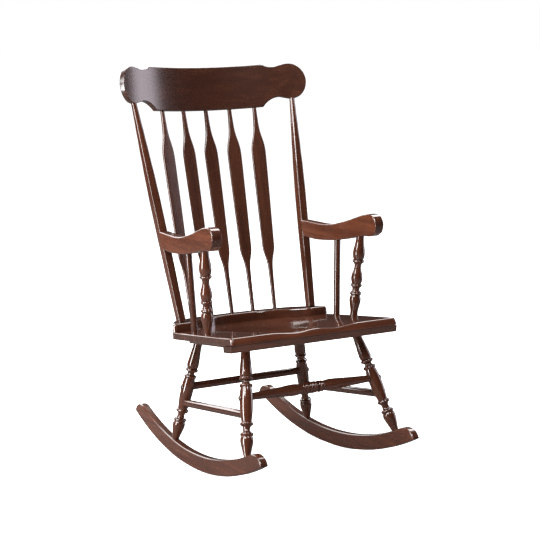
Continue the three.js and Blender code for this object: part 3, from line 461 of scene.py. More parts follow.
arc_centre = (ROCKER_SPREAD, ROCKER_BACK + SEAT_ORIGIN_BACK, ROCKER_RADIUS - ROCKER_FLAT_DROP)
rocker_frame = Matrix.Translation(arc_centre) @ Matrix.Rotation(math.atan(ROCKER_SPLAY), 4, "Z")


def on_arc(angle, depth):
    radius = ROCKER_RADIUS - depth
    return Vector((radius * math.sin(angle), -radius * math.cos(angle)))


def rocker_outline():
    front, rear = -math.asin(ROCKER_FRONT / ROCKER_RADIUS), math.asin(ROCKER_REAR / ROCKER_RADIUS)
    under = [on_arc(front + (rear - front) * k / 90, 0) for k in range(91)]
    under = [Vector((p.x, max(p.y, ROCKER_FLAT_DROP - ROCKER_RADIUS))) for p in under]
    nose, nose_lip = NOSE_ROLL[0] / ROCKER_RADIUS, NOSE_ROLL[1]
    tail, tail_lip = TAIL_ROLL[0] / ROCKER_RADIUS, TAIL_ROLL[1]
    turns = [k / ROLL_STEPS * math.pi / 2 for k in range(ROLL_STEPS + 1)]
    start, stop = rear - tail, front + nose

    def roll(end, run, lip, turn):
        return on_arc(end + run * (1 - math.cos(turn)), lip + (ROCKER_DEPTH - lip) * math.sin(turn))

    upper = [roll(rear, -tail, tail_lip, turn) for turn in turns]
    upper += [on_arc(start + (stop - start) * k / 80, ROCKER_DEPTH) for k in range(1, 80)]
    upper += [roll(front, nose, nose_lip, turn) for turn in reversed(turns)]
    return under + upper


# %% Rockers
bm = board(rocker_outline(), ROCKER_THICKNESS, ROCKER_EDGE, 4)
upright = Matrix(((0, 0, 1, -ROCKER_THICKNESS / 2), (1, 0, 0, 0), (0, 1, 0, 0), (0, 0, 0, 1)))
bm.transform(rocker_frame @ upright)
finish_pair(bm, "rocker", rocker_frame @ Matrix.Rotation(math.pi / 2, 4, "X"))


def on_rocker_top(reach):
    angle = math.asin((reach - ROCKER_BACK) / (ROCKER_RADIUS - ROCKER_DEPTH))
    spot = on_arc(angle, ROCKER_DEPTH)
    normal = rocker_frame.to_3x3() @ Vector((0, -spot.x, -spot.y)).normalized()
    return rocker_frame @ Vector((0, spot.x, spot.y)), normal


# %% [markdown]
# ## Legs
# Each leg is turned between centres: a vase under the seat, pairs of rings with a cove between
# them, a long barrel where the stretchers enter, and a foot that narrows to the rocker. A spun
# profile gives all of it. The ends are then sawn off along the cleat's underside and the rocker.

# %% Leg profile
LEG_DIAMETER = 36.8
CLEAT_THICKNESS = 19
CLEAT_UNDERSIDE = -SEAT_THICKNESS - GAP - CLEAT_THICKNESS
FRONT_LEG_TOP = (183, -195)  # x and v
REAR_LEG_TOP = (171, 90.4)
FRONT_LEG_FOOT = -308  # along the rocker
REAR_LEG_FOOT = 120
FOOT_SINK = 0.2
LEG_SHARES = [
    (0, 0.68), (0.06, 0.72), (0.12, 0.8), (0.18, 0.89), (0.225, 0.94), (0.25, 0.9),
    (0.264, 0.76, 1), (0.269, 0.92), (0.2815, 1), (0.294, 0.92), (0.298, 0.76, 1), (0.304, 0.62),
    (0.314, 0.56), (0.325, 0.62), (0.331, 0.76, 1), (0.336, 0.92), (0.348, 1), (0.36, 0.92),
    (0.364, 0.82, 1), (0.39, 0.9), (0.43, 0.97), (0.485, 1), (0.54, 0.99), (0.59, 0.94),
    (0.64, 0.85), (0.685, 0.76, 1), (0.69, 0.9), (0.704, 0.99), (0.717, 0.9), (0.721, 0.74, 1),
    (0.73, 0.61), (0.752, 0.56), (0.774, 0.61), (0.783, 0.74, 1), (0.787, 0.92), (0.8, 1),
    (0.812, 0.92), (0.816, 0.84, 1), (0.83, 0.94), (0.85, 0.985), (0.88, 0.94), (0.93, 0.76),
    (1, 0.52),
]


def by_shares(shares, diameter, length, past=14, steps=4):
    rows = fair([(s[0] * length, s[1] * diameter / 2, *s[2:]) for s in shares], steps)
    return [(-past, rows[0].y)] + [(p.x, p.y) for p in rows] + [(length + past, rows[-1].y)]


# %% Legs
leg_axes = {
    "front": (on_seat(*FRONT_LEG_TOP, CLEAT_UNDERSIDE), *on_rocker_top(FRONT_LEG_FOOT)),
    "rear": (on_seat(*REAR_LEG_TOP, CLEAT_UNDERSIDE), *on_rocker_top(REAR_LEG_FOOT)),
}
up = seat_frame.to_3x3() @ Vector((0, 0, 1))
for end, (top, foot, out) in leg_axes.items():
    place = aim(top, foot)
    bm = turning(by_shares(LEG_SHARES, LEG_DIAMETER, (foot - top).length), place)
    cut_off(bm, top, up)
    cut_off(bm, foot - FOOT_SINK * out, -out)
    finish_pair(bm, f"leg_{end}", place, turned_wood)

# %% [markdown]
# ## Stretchers and button plugs
# The front stretcher is turned with a knot of beads in its middle and swells towards them. The
# other three are plain dowels. Where the cross stretchers enter a leg, a small mushroom button
# closes the bore from outside. Spun profiles make them all.

# %% Stretchers
CROSS_SHARE = 0.457  # of the way down a leg
SIDE_SHARE = 0.622
FRONT_DIAMETER = 33
DOWEL_RADIUS = 11.1
END_INSIDE = 8  # how far a stretcher stops short of the leg's axis
HALF_FRONT = [
    (0, 1), (0.012, 0.97), (0.022, 0.86, 1), (0.032, 0.97), (0.044, 1), (0.054, 0.9),
    (0.062, 0.76, 1), (0.072, 0.72), (0.08, 0.76, 1), (0.086, 0.92), (0.1, 1), (0.116, 0.92),
    (0.126, 0.8, 1), (0.136, 0.84), (0.141, 0.9, 1), (0.15, 0.95), (0.159, 0.9), (0.166, 0.8, 1),
    (0.2, 0.88), (0.25, 0.97), (0.3, 1), (0.38, 0.95), (0.5, 0.85), (0.7, 0.71), (0.9, 0.6),
    (1, 0.57),
]


def across(end):
    top, foot, out = leg_axes[end]
    right = top.lerp(foot, CROSS_SHARE)
    return Vector((-right.x, right.y, right.z)), right


def dowel(start, end, facing=(0, -1, 0)):
    length = (end - start).length
    rows = [(END_INSIDE, DOWEL_RADIUS), (length - END_INSIDE, DOWEL_RADIUS)]
    return turning(rows, aim(start, end, facing), 32)


left, right = across("front")
length = (right - left).length
half = [(0.5 + s[0] / 2, *s[1:]) for s in HALF_FRONT]
mirrored_half = [(1 - s[0], *s[1:]) for s in reversed(half[1:])]
bm = turning(by_shares(mirrored_half + half, FRONT_DIAMETER, length, -END_INSIDE), aim(left, right))
finish(bm, "stretcher_front", aim(left, right), turned_wood)

left, right = across("rear")
finish(dowel(left, right), "stretcher_rear", aim(left, right), turned_wood)

side = [top.lerp(foot, SIDE_SHARE) for top, foot, out in leg_axes.values()]
facing_up = (0, 0, 1)
finish_pair(dowel(*side, facing_up), "stretcher_side", aim(*side, facing_up), turned_wood)

# %% Button plugs
BUTTON = [(-3, 4, 1), (-0.5, 5.5, 1), (0, 7.2), (1.2, 7.5), (2.6, 7), (4.2, 4.6), (5, 0.4)]
button = [(p.x, p.y) for p in fair(BUTTON, 3)]
for end in ("front", "rear"):
    centre = across(end)[1]
    skin = centre + Vector((LEG_DIAMETER / 2, 0, 0))
    place = aim(skin, skin + Vector((1, 0, 0)))
    finish_pair(turning(button, place, 32), f"leg_button_{end}", place, turned_wood)

# %% [markdown]
# ## Seat
# The seat is a board hollowed for the sitter, with a low ridge between the thighs and a nosed
# front edge. Sculpting it by hand would do, but the hollow is a simple formula, so it is laid out as
# sections from back to front, one for each step across the chair, bridged into one skin. Near each
# end the sections shrink along a quarter circle, so the seat's ends come out rounded.

# %% Seat shape
SHOULDER = 66  # where the sides end and the round back begins
SEAT_REAR = 203
FRONT_WIDTH = 544
SHOULDER_WIDTH = 528
SCOOP_DEPTH = 10
SCOOP_MIDDLE = -40
SCOOP_REACH = 260
SCOOP_WIDTH = 400
SCOOP_FRONT_WIDTH = 310
RIDGE_HEIGHT = 8.5
RIDGE_WIDTH = 92
RIDGE_LENGTH = 150
REAR_OUTLINE = [
    (0, 1), (0.24, 0.975), (0.473, 0.905), (0.663, 0.81), (0.777, 0.65), (0.864, 0.416),
    (0.94, 0.2), (0.986, 0.07), (0.997, 0.01), (1, -0.06),
]
rear_curve = fair(REAR_OUTLINE, 6)


def seat_rear(share):
    return SHOULDER + height_at(rear_curve, abs(share)) * (SEAT_REAR - SHOULDER)


def half_width(v):
    run = min(1, max(0, (v + SEAT_FRONT) / (SHOULDER + SEAT_FRONT)))
    return (FRONT_WIDTH + (SHOULDER_WIDTH - FRONT_WIDTH) * run**2) / 2


def scoop(x, v):
    forward = max(0, (SCOOP_MIDDLE - v) / (SCOOP_MIDDLE + SEAT_FRONT))
    backward = max(0, (v - SCOOP_MIDDLE) / SCOOP_REACH)
    width = SCOOP_WIDTH + (SCOOP_FRONT_WIDTH - SCOOP_WIDTH) * forward
    inside = 1 - (2 * x / width) ** 2 - backward**2
    hollow = SCOOP_DEPTH * inside**2 if inside > 0 else 0
    fade = min(1, max(0, 1 - (v + SEAT_FRONT) / RIDGE_LENGTH)) ** 2
    return max(0, hollow - RIDGE_HEIGHT * math.exp(-((2 * x / RIDGE_WIDTH) ** 2)) * fade)


def end_inset(distance, radius):
    gap = max(0, radius - distance)
    return radius - math.sqrt(radius**2 - gap**2)


# %% Seat
END_ROUNDING = 8
END_EASE = 0.35  # the share of that rounding that the top and the underside take
REAR_EDGE = 2.5
REAR_EDGE_MIDDLE = 0.7
TOP_STEPS = 60
NOSE_FOOT = 8
NOSE_FADE = 16  # how far down the nosing the hollow is felt
NOSE_POINTS = [
    (0, 0), (3.6, -0.9), (6.3, -3.6), (9, -8), (11.2, -13), (12, -16.6), (11.6, -19.4), (10, -20.8),
    (8, -21.2),
]
nose_curve = fair(NOSE_POINTS, 2)
quarter = [k * math.pi / 12 for k in range(7)]


def seat_section(share):
    rear = seat_rear(share)
    corner = end_inset((1 - abs(share)) * SEAT_FRONT, END_ROUNDING)
    edge = END_EASE * corner
    middle_v, middle_w = (rear - SEAT_FRONT) / 2, -SEAT_THICKNESS / 2
    ring = []

    def add(v, w):
        near_v = middle_v + (v - middle_v) * (1 - corner / (rear - middle_v))
        near_w = middle_w + (w - middle_w) * (1 + edge / middle_w)
        ring.append(seat_frame @ Vector((share * half_width(v), near_v, near_w)))

    for k in range(TOP_STEPS + 1):
        v = rear - REAR_EDGE + (-SEAT_FRONT - rear + REAR_EDGE) * k / TOP_STEPS
        add(v, -scoop(share * half_width(v), v))
    sink = scoop(share * half_width(-SEAT_FRONT), -SEAT_FRONT)
    for p in nose_curve[1:]:
        add(-SEAT_FRONT - p.x, p.y - sink * max(0, 1 + p.y / NOSE_FADE))
    for k in range(1, 8):
        add(-SEAT_FRONT - NOSE_FOOT + (rear - REAR_EDGE + SEAT_FRONT + NOSE_FOOT) * k / 8, -SEAT_THICKNESS)
    add(rear - REAR_EDGE, -SEAT_THICKNESS)
    add(rear - REAR_EDGE_MIDDLE, -SEAT_THICKNESS + REAR_EDGE_MIDDLE)
    add(rear, -SEAT_THICKNESS + REAR_EDGE)
    add(rear, -REAR_EDGE)
    add(rear - REAR_EDGE_MIDDLE, -REAR_EDGE_MIDDLE)
    return ring


inner = [k / 40 for k in range(-39, 40)]
outer = [1 - END_ROUNDING / SEAT_FRONT * (1 - math.sin(a)) for a in quarter]
steps = [-s for s in reversed(outer)] + inner + outer
bm = stick([seat_section(s) for s in steps])
across_grain = seat_frame @ Matrix.Rotation(math.pi / 2, 4, "Y")
finish(bm, "seat_panel", across_grain, seat_wood, crease=50)

# %% [markdown]
# ## Under the seat
# A rail thickens the seat's front edge, and two cleats run back from it to carry the legs. All
# three are plain boards with eased edges. The rail's front leans in so that the nosing throws a
# shadow line over it.

# %% Front rail and cleats
RAIL_TOP = -SEAT_THICKNESS - GAP
RAIL_FRONT = -SEAT_FRONT - 10.4
RAIL_BOTTOM = RAIL_TOP - 18.8
RAIL_DEPTH = 47
RAIL_LEAN = 4
RAIL_ROUND = 4
RAIL_LENGTH = 543.2
CLEAT_HALF = 26
CLEAT_PAST = 30.3  # how far a cleat runs on before the front leg's axis


def rail_point(inwards, upwards):
    return Vector((RAIL_FRONT + inwards, RAIL_BOTTOM + upwards))


front_round, rear_round = RAIL_LEAN + RAIL_ROUND, RAIL_DEPTH - RAIL_ROUND
section = [Vector((RAIL_FRONT + RAIL_DEPTH, RAIL_TOP)), Vector((RAIL_FRONT, RAIL_TOP))]
for a in quarter:
    section.append(rail_point(front_round - RAIL_ROUND * math.cos(a), RAIL_ROUND - RAIL_ROUND * math.sin(a)))
for a in quarter:
    section.append(rail_point(rear_round + RAIL_ROUND * math.sin(a), RAIL_ROUND - RAIL_ROUND * math.cos(a)))
bm = board(section, RAIL_LENGTH, 1.2, 2)
along_x = Matrix(((0, 0, 1, -RAIL_LENGTH / 2), (1, 0, 0, 0), (0, 1, 0, 0), (0, 0, 0, 1)))
bm.transform(seat_frame @ along_x)
finish(bm, "seat_front_rail", across_grain)

rear_end, front_end = Vector(REAR_LEG_TOP), Vector(FRONT_LEG_TOP)
run = front_end - rear_end
turn = math.atan2(run.y, run.x)
half_turn = [math.pi * (0.5 + k / 24) for k in range(25)]
cleat = [Vector((CLEAT_HALF * math.cos(a), CLEAT_HALF * math.sin(a))) for a in half_turn]
reach = run.length + CLEAT_PAST
cleat += [Vector((reach, -CLEAT_HALF)), Vector((reach, CLEAT_HALF))]
bm = board(cleat, CLEAT_THICKNESS, 2)
lay = Matrix.Translation((rear_end.x, rear_end.y, CLEAT_UNDERSIDE)) @ Matrix.Rotation(turn, 4, "Z")
bm.transform(seat_frame @ lay)
finish_pair(bm, "seat_cleat", seat_frame @ Matrix.Rotation(math.pi / 2, 4, "X"))

# %% [markdown]
# ## Back rail
# A curved rail sits on the seat's rear edge and holds the feet of the posts and slats. It is a
# board seen from above: its back follows the seat, and its front is hollowed for the sitter. Like
# the seat's, its sections shrink towards both ends.

# %% Back rail
BACK_RAIL_HEIGHT = 23.6
MIDDLE_FRONT = 151
END_FRONT = 58
END_CORNER = 7
CURVE_REACH = 208
BACK_RAIL_HALF = 262.5
BACK_RAIL_ROUNDING = 10
SEAT_HALF = SHOULDER_WIDTH / 2
FRONT_CURVE = [
    (0, 0), (0.2, 0.02), (0.41, 0.13), (0.6, 0.32), (0.75, 0.55), (0.86, 0.77), (0.93, 0.91),
    (0.97, 0.98), (1, 1),
]
front_curve = []
for p in fair(FRONT_CURVE, 4):
    front_curve.append(Vector((p.x * CURVE_REACH, MIDDLE_FRONT - p.y * (MIDDLE_FRONT - END_FRONT))))
for a in quarter:
    x = SEAT_HALF - END_CORNER + END_CORNER * math.sin(a)
    front_curve.append(Vector((x, END_FRONT + END_CORNER - END_CORNER * math.cos(a))))


def rail_section(x):
    front, rear = height_at(front_curve, abs(x)), seat_rear(x / SEAT_HALF)
    inset = end_inset(BACK_RAIL_HALF - abs(x), BACK_RAIL_ROUNDING)
    pinch = min(inset, 0.4 * (rear - front))
    front, rear, high = front + pinch, rear - pinch, BACK_RAIL_HEIGHT - inset
    deep = rear - front
    nose, heel = min(6.5, deep * 0.6), min(3, deep * 0.25)
    ring = [(front, -scoop(x, front))]
    ring += [(front + nose - nose * math.cos(a), high - nose + nose * math.sin(a)) for a in quarter]
    ring += [(rear - heel + heel * math.sin(a), high - heel + heel * math.cos(a)) for a in quarter]
    ring += [(rear + (front - rear) * k / 6, -scoop(x, rear + (front - rear) * k / 6)) for k in range(6)]
    return [seat_frame @ Vector((x, v, w + GAP)) for v, w in ring]


across_steps = [math.sin(k / 40 * math.pi / 2) * BACK_RAIL_HALF for k in range(-40, 41)]
bm = stick([rail_section(x) for x in across_steps])
finish(bm, "back_rail", across_grain, turned_wood, crease=50)

# %% [markdown]
# ## Crest
# The crest is sawn to its scalloped outline and bent to the sitter's shoulders. In mesh terms it is
# a flat board, sliced into narrow upright strips so that it can bend, and then rolled about an
# upright axis and leaned back.

# %% Crest
CREST_HEIGHT = 130.5
CREST_HALF = 309
CREST_RADIUS = 587
CREST_THICKNESS = 17
CREST_EDGE = 3
CREST_BACK = 325
CREST_RISE = 596.6
CREST_LEAN = 0.24
STRIP_WIDTH = 8
crest_foot = Matrix.Translation((0, CREST_BACK + SEAT_ORIGIN_BACK, SEAT_HEIGHT + CREST_RISE))
crest_frame = crest_foot @ Matrix.Rotation(-math.atan(CREST_LEAN), 4, "X")
CREST_SHARES = [
    (0, 0, 1), (0.594, 0, 1), (0.604, 0.025), (0.624, 0.075), (0.668, 0.15), (0.712, 0.192),
    (0.75, 0.2), (0.79, 0.172), (0.84, 0.138), (0.89, 0.138), (0.935, 0.18), (0.97, 0.27),
    (0.991, 0.38), (1, 0.51), (0.994, 0.64), (0.973, 0.77), (0.94, 0.873), (0.9, 0.936),
    (0.85, 0.957), (0.79, 0.938), (0.735, 0.91), (0.69, 0.921), (0.652, 0.95), (0.63, 0.98, 1),
    (0.61, 0.992, 1), (0, 0.992),
]


def bend(x, height, depth):
    turn = math.asin(max(-1, min(1, x / CREST_RADIUS)))
    radius = CREST_RADIUS + depth
    return crest_frame @ Vector((radius * math.sin(turn), radius * math.cos(turn) - CREST_RADIUS, height))


half_crest = [Vector((p.x * CREST_HALF, p.y * CREST_HEIGHT)) for p in fair(CREST_SHARES, 4)]
outline = half_crest + [Vector((-p.x, p.y)) for p in reversed(half_crest[1:-1])]
bm = board(outline, CREST_THICKNESS, CREST_EDGE, 4)
for k in range(-38, 39):
    bmesh.ops.bisect_plane(
        bm,
        geom=bm.verts[:] + bm.edges[:] + bm.faces[:],
        dist=0.0001,
        plane_co=(k * STRIP_WIDTH, 0, 0),
        plane_no=(1, 0, 0),
    )
for vert in bm.verts:
    vert.co = bend(vert.co.x, vert.co.y, vert.co.z)
finish(bm, "crest_rail", crest_frame @ Matrix.Rotation(math.pi / 2, 4, "Y"), crest_wood)

# %% [markdown]
# ## Back posts
# Each post starts as a squarish stick at the rail and is rounded and thinned towards the crest.
# A section that changes along its length is bridged from ring to ring.


# %% Posts
def crest_bottom(x):
    return height_at([p for p in half_crest if p.y < CREST_HEIGHT / 2], x)


POST_WIDTH = 25.6
POST_DEPTH = 26.8
POST_FOOT = (221.2, 90.2)  # x and v
POST_TOP = 266.5
POST_PAST = 5  # how far a post runs up into the crest
POST_STEPS = 48
POST_SECTIONS = [
    (0, 0.88, 0.35), (0.12, 0.905, 0.3), (0.26, 0.965, 0.28), (0.38, 1, 0.28), (0.54, 0.995, 0.28),
    (0.66, 0.94, 0.35), (0.76, 0.86, 0.5), (0.86, 0.775, 0.7), (0.93, 0.7, 0.9), (1, 0.62, 1),
]
post_foot = on_seat(*POST_FOOT, GAP + BACK_RAIL_HEIGHT)
post_top = bend(POST_TOP, crest_bottom(POST_TOP), CREST_THICKNESS / 2)
post_frame = aim(post_foot, post_top)
post_length = (post_top - post_foot).length


def at_share(table, share):
    for a, b in zip(table, table[1:]):
        if share <= b[0]:
            t = (share - a[0]) / (b[0] - a[0])
            t = t * t * (3 - 2 * t)
            return [p + (q - p) * t for p, q in zip(a[1:], b[1:])]
    return list(table[-1][1:])


rings = []
for k in range(POST_STEPS + 1):
    share = k / POST_STEPS
    size, rounding = at_share(POST_SECTIONS, share)
    ring = rounded(POST_WIDTH * size, POST_DEPTH * size, rounding * POST_WIDTH / 2 * size)
    height = share * post_length + (POST_PAST if k == POST_STEPS else 0)
    rings.append([post_frame @ (p + Vector((0, 0, height))) for p in ring])
bm = stick(rings)
cut_off(bm, on_seat(0, 0, GAP + BACK_RAIL_HEIGHT), -up)
finish_pair(bm, "back_post", post_frame, turned_wood)

# %% [markdown]
# ## Arrow slats
# A slat is flat and broad where it meets the back and round where it enters the crest and the
# rail. The section goes from a circle to a thin rounded blade and back, quickly at each shoulder.

# %% Slats
SLAT_END = 12
SLAT_SPREAD = 32.5  # added to the width at the broadest place
SLAT_THINNING = 3
SLAT_PAST = 3  # how far a slat runs into the rail and the crest
FOOT_SPACING = 71.5
TOP_SPACING = 78
FOOT_BACK = 180.5
FOOT_CURVE = 12
SLAT_SECTIONS = [
    (0, 0, 0), (0.1, 0.03, 0), (0.19, 0.09, 0.1), (0.225, 0.18, 0.3), (0.25, 0.34, 0.55),
    (0.272, 0.56, 0.8), (0.295, 0.75, 0.95), (0.325, 0.81, 1), (0.44, 0.865, 1), (0.6, 0.945, 1),
    (0.75, 1, 1), (0.785, 0.985, 1), (0.81, 0.9, 1), (0.838, 0.69, 0.9), (0.862, 0.45, 0.7),
    (0.89, 0.24, 0.45), (0.92, 0.13, 0.2), (0.96, 0.05, 0), (1, 0, 0),
]
wide = fair([(s, w) for s, w, t in SLAT_SECTIONS], 4)
thin = fair([(s, t) for s, w, t in SLAT_SECTIONS], 4)
for index, place in enumerate((-2, -1, 0, 1, 2)):
    foot = on_seat(place * FOOT_SPACING, FOOT_BACK - FOOT_CURVE * (place / 2) ** 2, GAP + BACK_RAIL_HEIGHT)
    top = bend(place * TOP_SPACING, 0, CREST_THICKNESS / 2)
    slat_frame = aim(foot, top, (-place * TOP_SPACING / CREST_RADIUS, -1, 0))
    length = (top - foot).length
    rings = []
    for w, t in zip(wide, thin):
        width = SLAT_END + SLAT_SPREAD * min(1, max(0, w.y))
        depth = SLAT_END - SLAT_THINNING * min(1, max(0, t.y))
        height = w.x * length
        if w.x <= 0:
            height = -SLAT_PAST
        if w.x >= 1:
            height = length + SLAT_PAST
        ring = rounded(width, depth, depth * 0.46)
        rings.append([slat_frame @ (p + Vector((0, 0, height))) for p in ring])
    finish(stick(rings), f"arrow_slat_{index + 1}", slat_frame, slat_wood)

# %% [markdown]
# ## Arms
# Each arm is sawn from a thick board to a long S with a rolled hand rest, and its edges are eased.
# It butts against the post, so the board is drawn too long and sawn off along the post's face.

# %% Arms
ARM_HEIGHT = SEAT_HEIGHT + 217  # of the arm's lowest place
ARM_DEPTH = 101
ARM_WIDTH = 31
ARM_EDGE = 4.2
ARM_FRONT = (266.5, -193)  # x and v
ARM_REAR_SHARE = 0.505  # of the arm's depth, where it meets the post
POST_FACE = 13.5  # how far the arm's sawn end lies before the post's axis
ARM_SHARES = [
    (0.846, 0.497), (0.73, 0.488), (0.66, 0.498), (0.6, 0.522), (0.539, 0.562), (0.38, 0.715),
    (0.26, 0.855), (0.168, 0.96), (0.092, 1), (0.036, 0.948), (0.004, 0.8), (0, 0.67),
    (0.014, 0.515), (0.039, 0.44), (0.078, 0.371), (0.19, 0.34), (0.26, 0.278), (0.38, 0.175),
    (0.483, 0.103), (0.617, 0.04), (0.777, 0), (0.902, 0.02), (1, 0.026),
]
middle = ARM_HEIGHT + ARM_DEPTH * ARM_REAR_SHARE / 2
post_at_arm = post_foot.lerp(post_top, (middle - post_foot.z) / (post_top.z - post_foot.z))
arm_front = Vector((ARM_FRONT[0], ARM_FRONT[1] + SEAT_ORIGIN_BACK, ARM_HEIGHT))
arm_rear = Vector((post_at_arm.x, post_at_arm.y, ARM_HEIGHT))
arm_length = (arm_rear - arm_front).length
along = (arm_rear - arm_front).normalized()
upwards = Vector((0, 0, 1))
arm_turn = Matrix((along, upwards, along.cross(upwards))).transposed().to_4x4()
arm_frame = Matrix.Translation(arm_front) @ arm_turn
drawn = [(1.08, 0.51), (1, ARM_REAR_SHARE)] + ARM_SHARES + [(1.08, 0.03)]
outline = [Vector((p.x * arm_length, p.y * ARM_DEPTH)) for p in fair(drawn, 8)]
bm = board(outline, ARM_WIDTH, ARM_EDGE, 4)
bm.transform(arm_frame @ Matrix.Translation((0, 0, -ARM_WIDTH / 2)))
forwards = post_frame.to_3x3() @ Vector((0, 1, 0))
cut_off(bm, post_at_arm + forwards * POST_FACE, -forwards)
finish_pair(bm, "arm", arm_frame @ Matrix.Rotation(math.pi / 2, 4, "Y"), arm_wood)

# %% [markdown]
# ## Arm posts and dowels
# The front of each arm stands on a turned post like a small leg, and its middle on a plain dowel.

# %% Arm posts and dowels
ARM_POST_DIAMETER = 35.2
ARM_POST_FOOT = (244.5, -101)  # x and v
ARM_DOWEL_RADIUS = 9.7
ARM_DOWEL_FOOT = (240, -19.4)
ARM_POST_SHARES = [
    (0, 0.65), (0.05, 0.69), (0.1, 0.79), (0.16, 0.94), (0.205, 1), (0.245, 0.97), (0.275, 0.86),
    (0.286, 0.76, 1), (0.292, 0.92), (0.307, 1), (0.321, 0.92), (0.327, 0.76, 1), (0.345, 0.62),
    (0.38, 0.57), (0.415, 0.66), (0.46, 0.84), (0.51, 0.96), (0.55, 0.92), (0.578, 0.82),
    (0.588, 0.74, 1), (0.594, 0.9), (0.608, 0.97), (0.622, 0.9), (0.63, 0.76, 1), (0.645, 0.64),
    (0.662, 0.62), (0.682, 0.72), (0.694, 0.9, 1), (0.709, 1), (0.724, 0.92), (0.732, 0.78, 1),
    (0.75, 0.89), (0.785, 0.965), (0.82, 0.93), (0.87, 0.8), (0.935, 0.65), (1, 0.665),
]


def on_arm(backwards, height):
    return arm_frame @ Vector((backwards * arm_length, height * ARM_DEPTH, -2))


foot = on_seat(*ARM_POST_FOOT, 0)
top = on_arm(0.235, 0.3)
place = aim(top, foot)
bm = turning(by_shares(ARM_POST_SHARES, ARM_POST_DIAMETER, (foot - top).length, past=8), place)
cut_off(bm, foot, -up)
finish_pair(bm, "arm_post", place, turned_wood)

foot = on_seat(*ARM_DOWEL_FOOT, 0)
top = on_arm(0.53, 0.09)
place = aim(foot, top)
rows = [(-4, ARM_DOWEL_RADIUS), ((top - foot).length + 5, ARM_DOWEL_RADIUS)]
bm = turning(rows, place, 32)
finish_pair(bm, "arm_dowel", place, turned_wood)

# %% [markdown]
# ## Floor, light and camera
# The photograph is a studio picture on white. Tall softboxes at the left and the right give the two
# long shines on the turnings, and the right one also the haze on the crest's bent end. High ones at
# the left and in front light the outer faces and the arms, and one above and one behind draw the
# light lines on the seat's nosing and the rockers. Lamps of one size all round would be simpler,
# but then no edge would stand out. The floor and the room are pale to the eye and dim to the
# lacquer, which in the studio mirrored dark walls.


# %% Floor and world
FLOOR_HALF = 40
FLOOR_SHADES = (0.8, 0.12)  # to the eye, and to the lacquer that mirrors it
ROOM_LIGHTS = (0.18, 0.03)


def plain_floor():
    material = bpy.data.materials.new("floor_white")
    material.use_nodes = True
    tree = material.node_tree
    shader = tree.nodes["Principled BSDF"]
    shader.inputs["Roughness"].default_value = 0.9
    shader.inputs["Specular IOR Level"].default_value = 0.1
    view = node(tree, "ShaderNodeLightPath")
    shade = node(tree, "ShaderNodeMix", data_type="RGBA")
    for socket, grey in zip(MIX_COLOURS, FLOOR_SHADES):
        shade.inputs[socket].default_value = (grey, grey, grey, 1)
    tree.links.new(view.outputs["Is Glossy Ray"], shade.inputs[0])
    tree.links.new(shade.outputs[MIX_COLOUR_OUT], shader.inputs["Base Color"])
    glow = node(tree, "ShaderNodeEmission")
    both = node(tree, "ShaderNodeAddShader")
    tree.links.new(view.outputs["Is Camera Ray"], glow.inputs["Strength"])
    tree.links.new(shader.outputs[0], both.inputs[0])
    tree.links.new(glow.outputs[0], both.inputs[1])
    tree.links.new(both.outputs[0], tree.nodes["Material Output"].inputs["Surface"])
    return material


floor_bm = bmesh.new()
bmesh.ops.create_grid(floor_bm, x_segments=1, y_segments=1, size=FLOOR_HALF)
floor_mesh = bpy.data.meshes.new("floor")
floor_bm.to_mesh(floor_mesh)
floor_bm.free()
floor_mesh.materials.append(plain_floor())
floor = bpy.data.objects.new("floor", floor_mesh)
bpy.context.scene.collection.objects.link(floor)

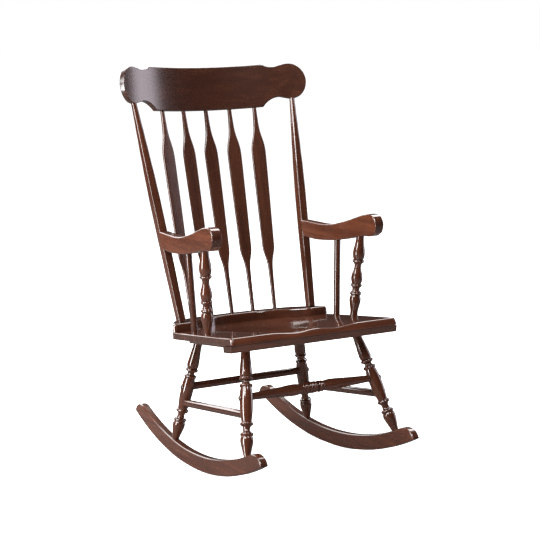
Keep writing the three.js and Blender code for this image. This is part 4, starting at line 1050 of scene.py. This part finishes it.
world = bpy.data.worlds.new("white_room")
bpy.context.scene.world = world
world.use_nodes = True
tree = world.node_tree
room = tree.nodes["Background"]
room.inputs["Color"].default_value = (1, 1, 1, 1)
view = node(tree, "ShaderNodeLightPath")
dimmed = remap(tree, view.outputs["Is Glossy Ray"], 0, 1, *ROOM_LIGHTS)
seen = node(tree, "ShaderNodeMix", data_type="FLOAT")
seen.inputs[MIX_FLOATS[1]].default_value = 1.0
tree.links.new(dimmed, seen.inputs[MIX_FLOATS[0]])
tree.links.new(view.outputs["Is Camera Ray"], seen.inputs[0])
tree.links.new(seen.outputs[0], room.inputs["Strength"])
print("floor and white room ready")


# %% Lights
def softbox(name, place, target, width, height, power, tint=(1, 1, 1)):
    data = bpy.data.lights.new(name, "AREA")
    data.shape = "RECTANGLE"
    data.size = width
    data.size_y = height
    data.energy = power
    lamp = bpy.data.objects.new(name, data)
    lamp.location = place
    lamp.visible_camera = False
    data.color = tint
    aim_at = Vector(target) - Vector(place)
    lamp.rotation_euler = aim_at.to_track_quat("-Z", "Y").to_euler()
    bpy.context.scene.collection.objects.link(lamp)


softbox("left_softbox", (-3.4, -0.1, 1.25), (0, 0, 1.25), 0.75, 2.5, 120)
softbox("high_left_softbox", (-2.5, 0.1, 2.9), (0, 0, 0.5), 2.0, 2.0, 100)
softbox("front_left_softbox", (-2.6, -1.6, 3.3), (0, 0, 0.6), 0.7, 1.4, 70)
softbox("front_softbox", (0.3, -2.4, 3.9), (0, 0, 0.6), 0.6, 1.4, 42)
softbox("right_softbox", (3.4, -0.68, 1.3), (0, 0, 1.3), 1.15, 2.6, 38, (0.96, 0.9, 1))
softbox("top_softbox", (1.9, 1.25, 3.1), (1.5, 1.05, 0), 1.5, 2.8, 95)
softbox("back_softbox", (-0.4, 3.4, 2.3), (0, 0, 0.6), 3.6, 2.6, 150)
print("seven softboxes")

# %% Camera
AZIMUTH = math.radians(-32.04)
ELEVATION = math.radians(9.53)
DISTANCE = 4312.2
target = Vector((19.7, SEAT_ORIGIN_BACK, 544.4))
level = math.cos(ELEVATION)
back = Vector((math.sin(AZIMUTH) * level, -math.cos(AZIMUTH) * level, math.sin(ELEVATION)))
camera_data = bpy.data.cameras.new("camera")
camera_data.lens = 100
camera_data.sensor_width = 36
camera_data.clip_end = 200
camera = bpy.data.objects.new("camera", camera_data)
camera.location = (target + back * DISTANCE) * MM
camera.rotation_euler = (-back).to_track_quat("-Z", "Y").to_euler()
bpy.context.scene.collection.objects.link(camera)
bpy.context.scene.camera = camera
bpy.context.scene.view_settings.view_transform = "Standard"
print("camera at", [round(c, 3) for c in camera.location])
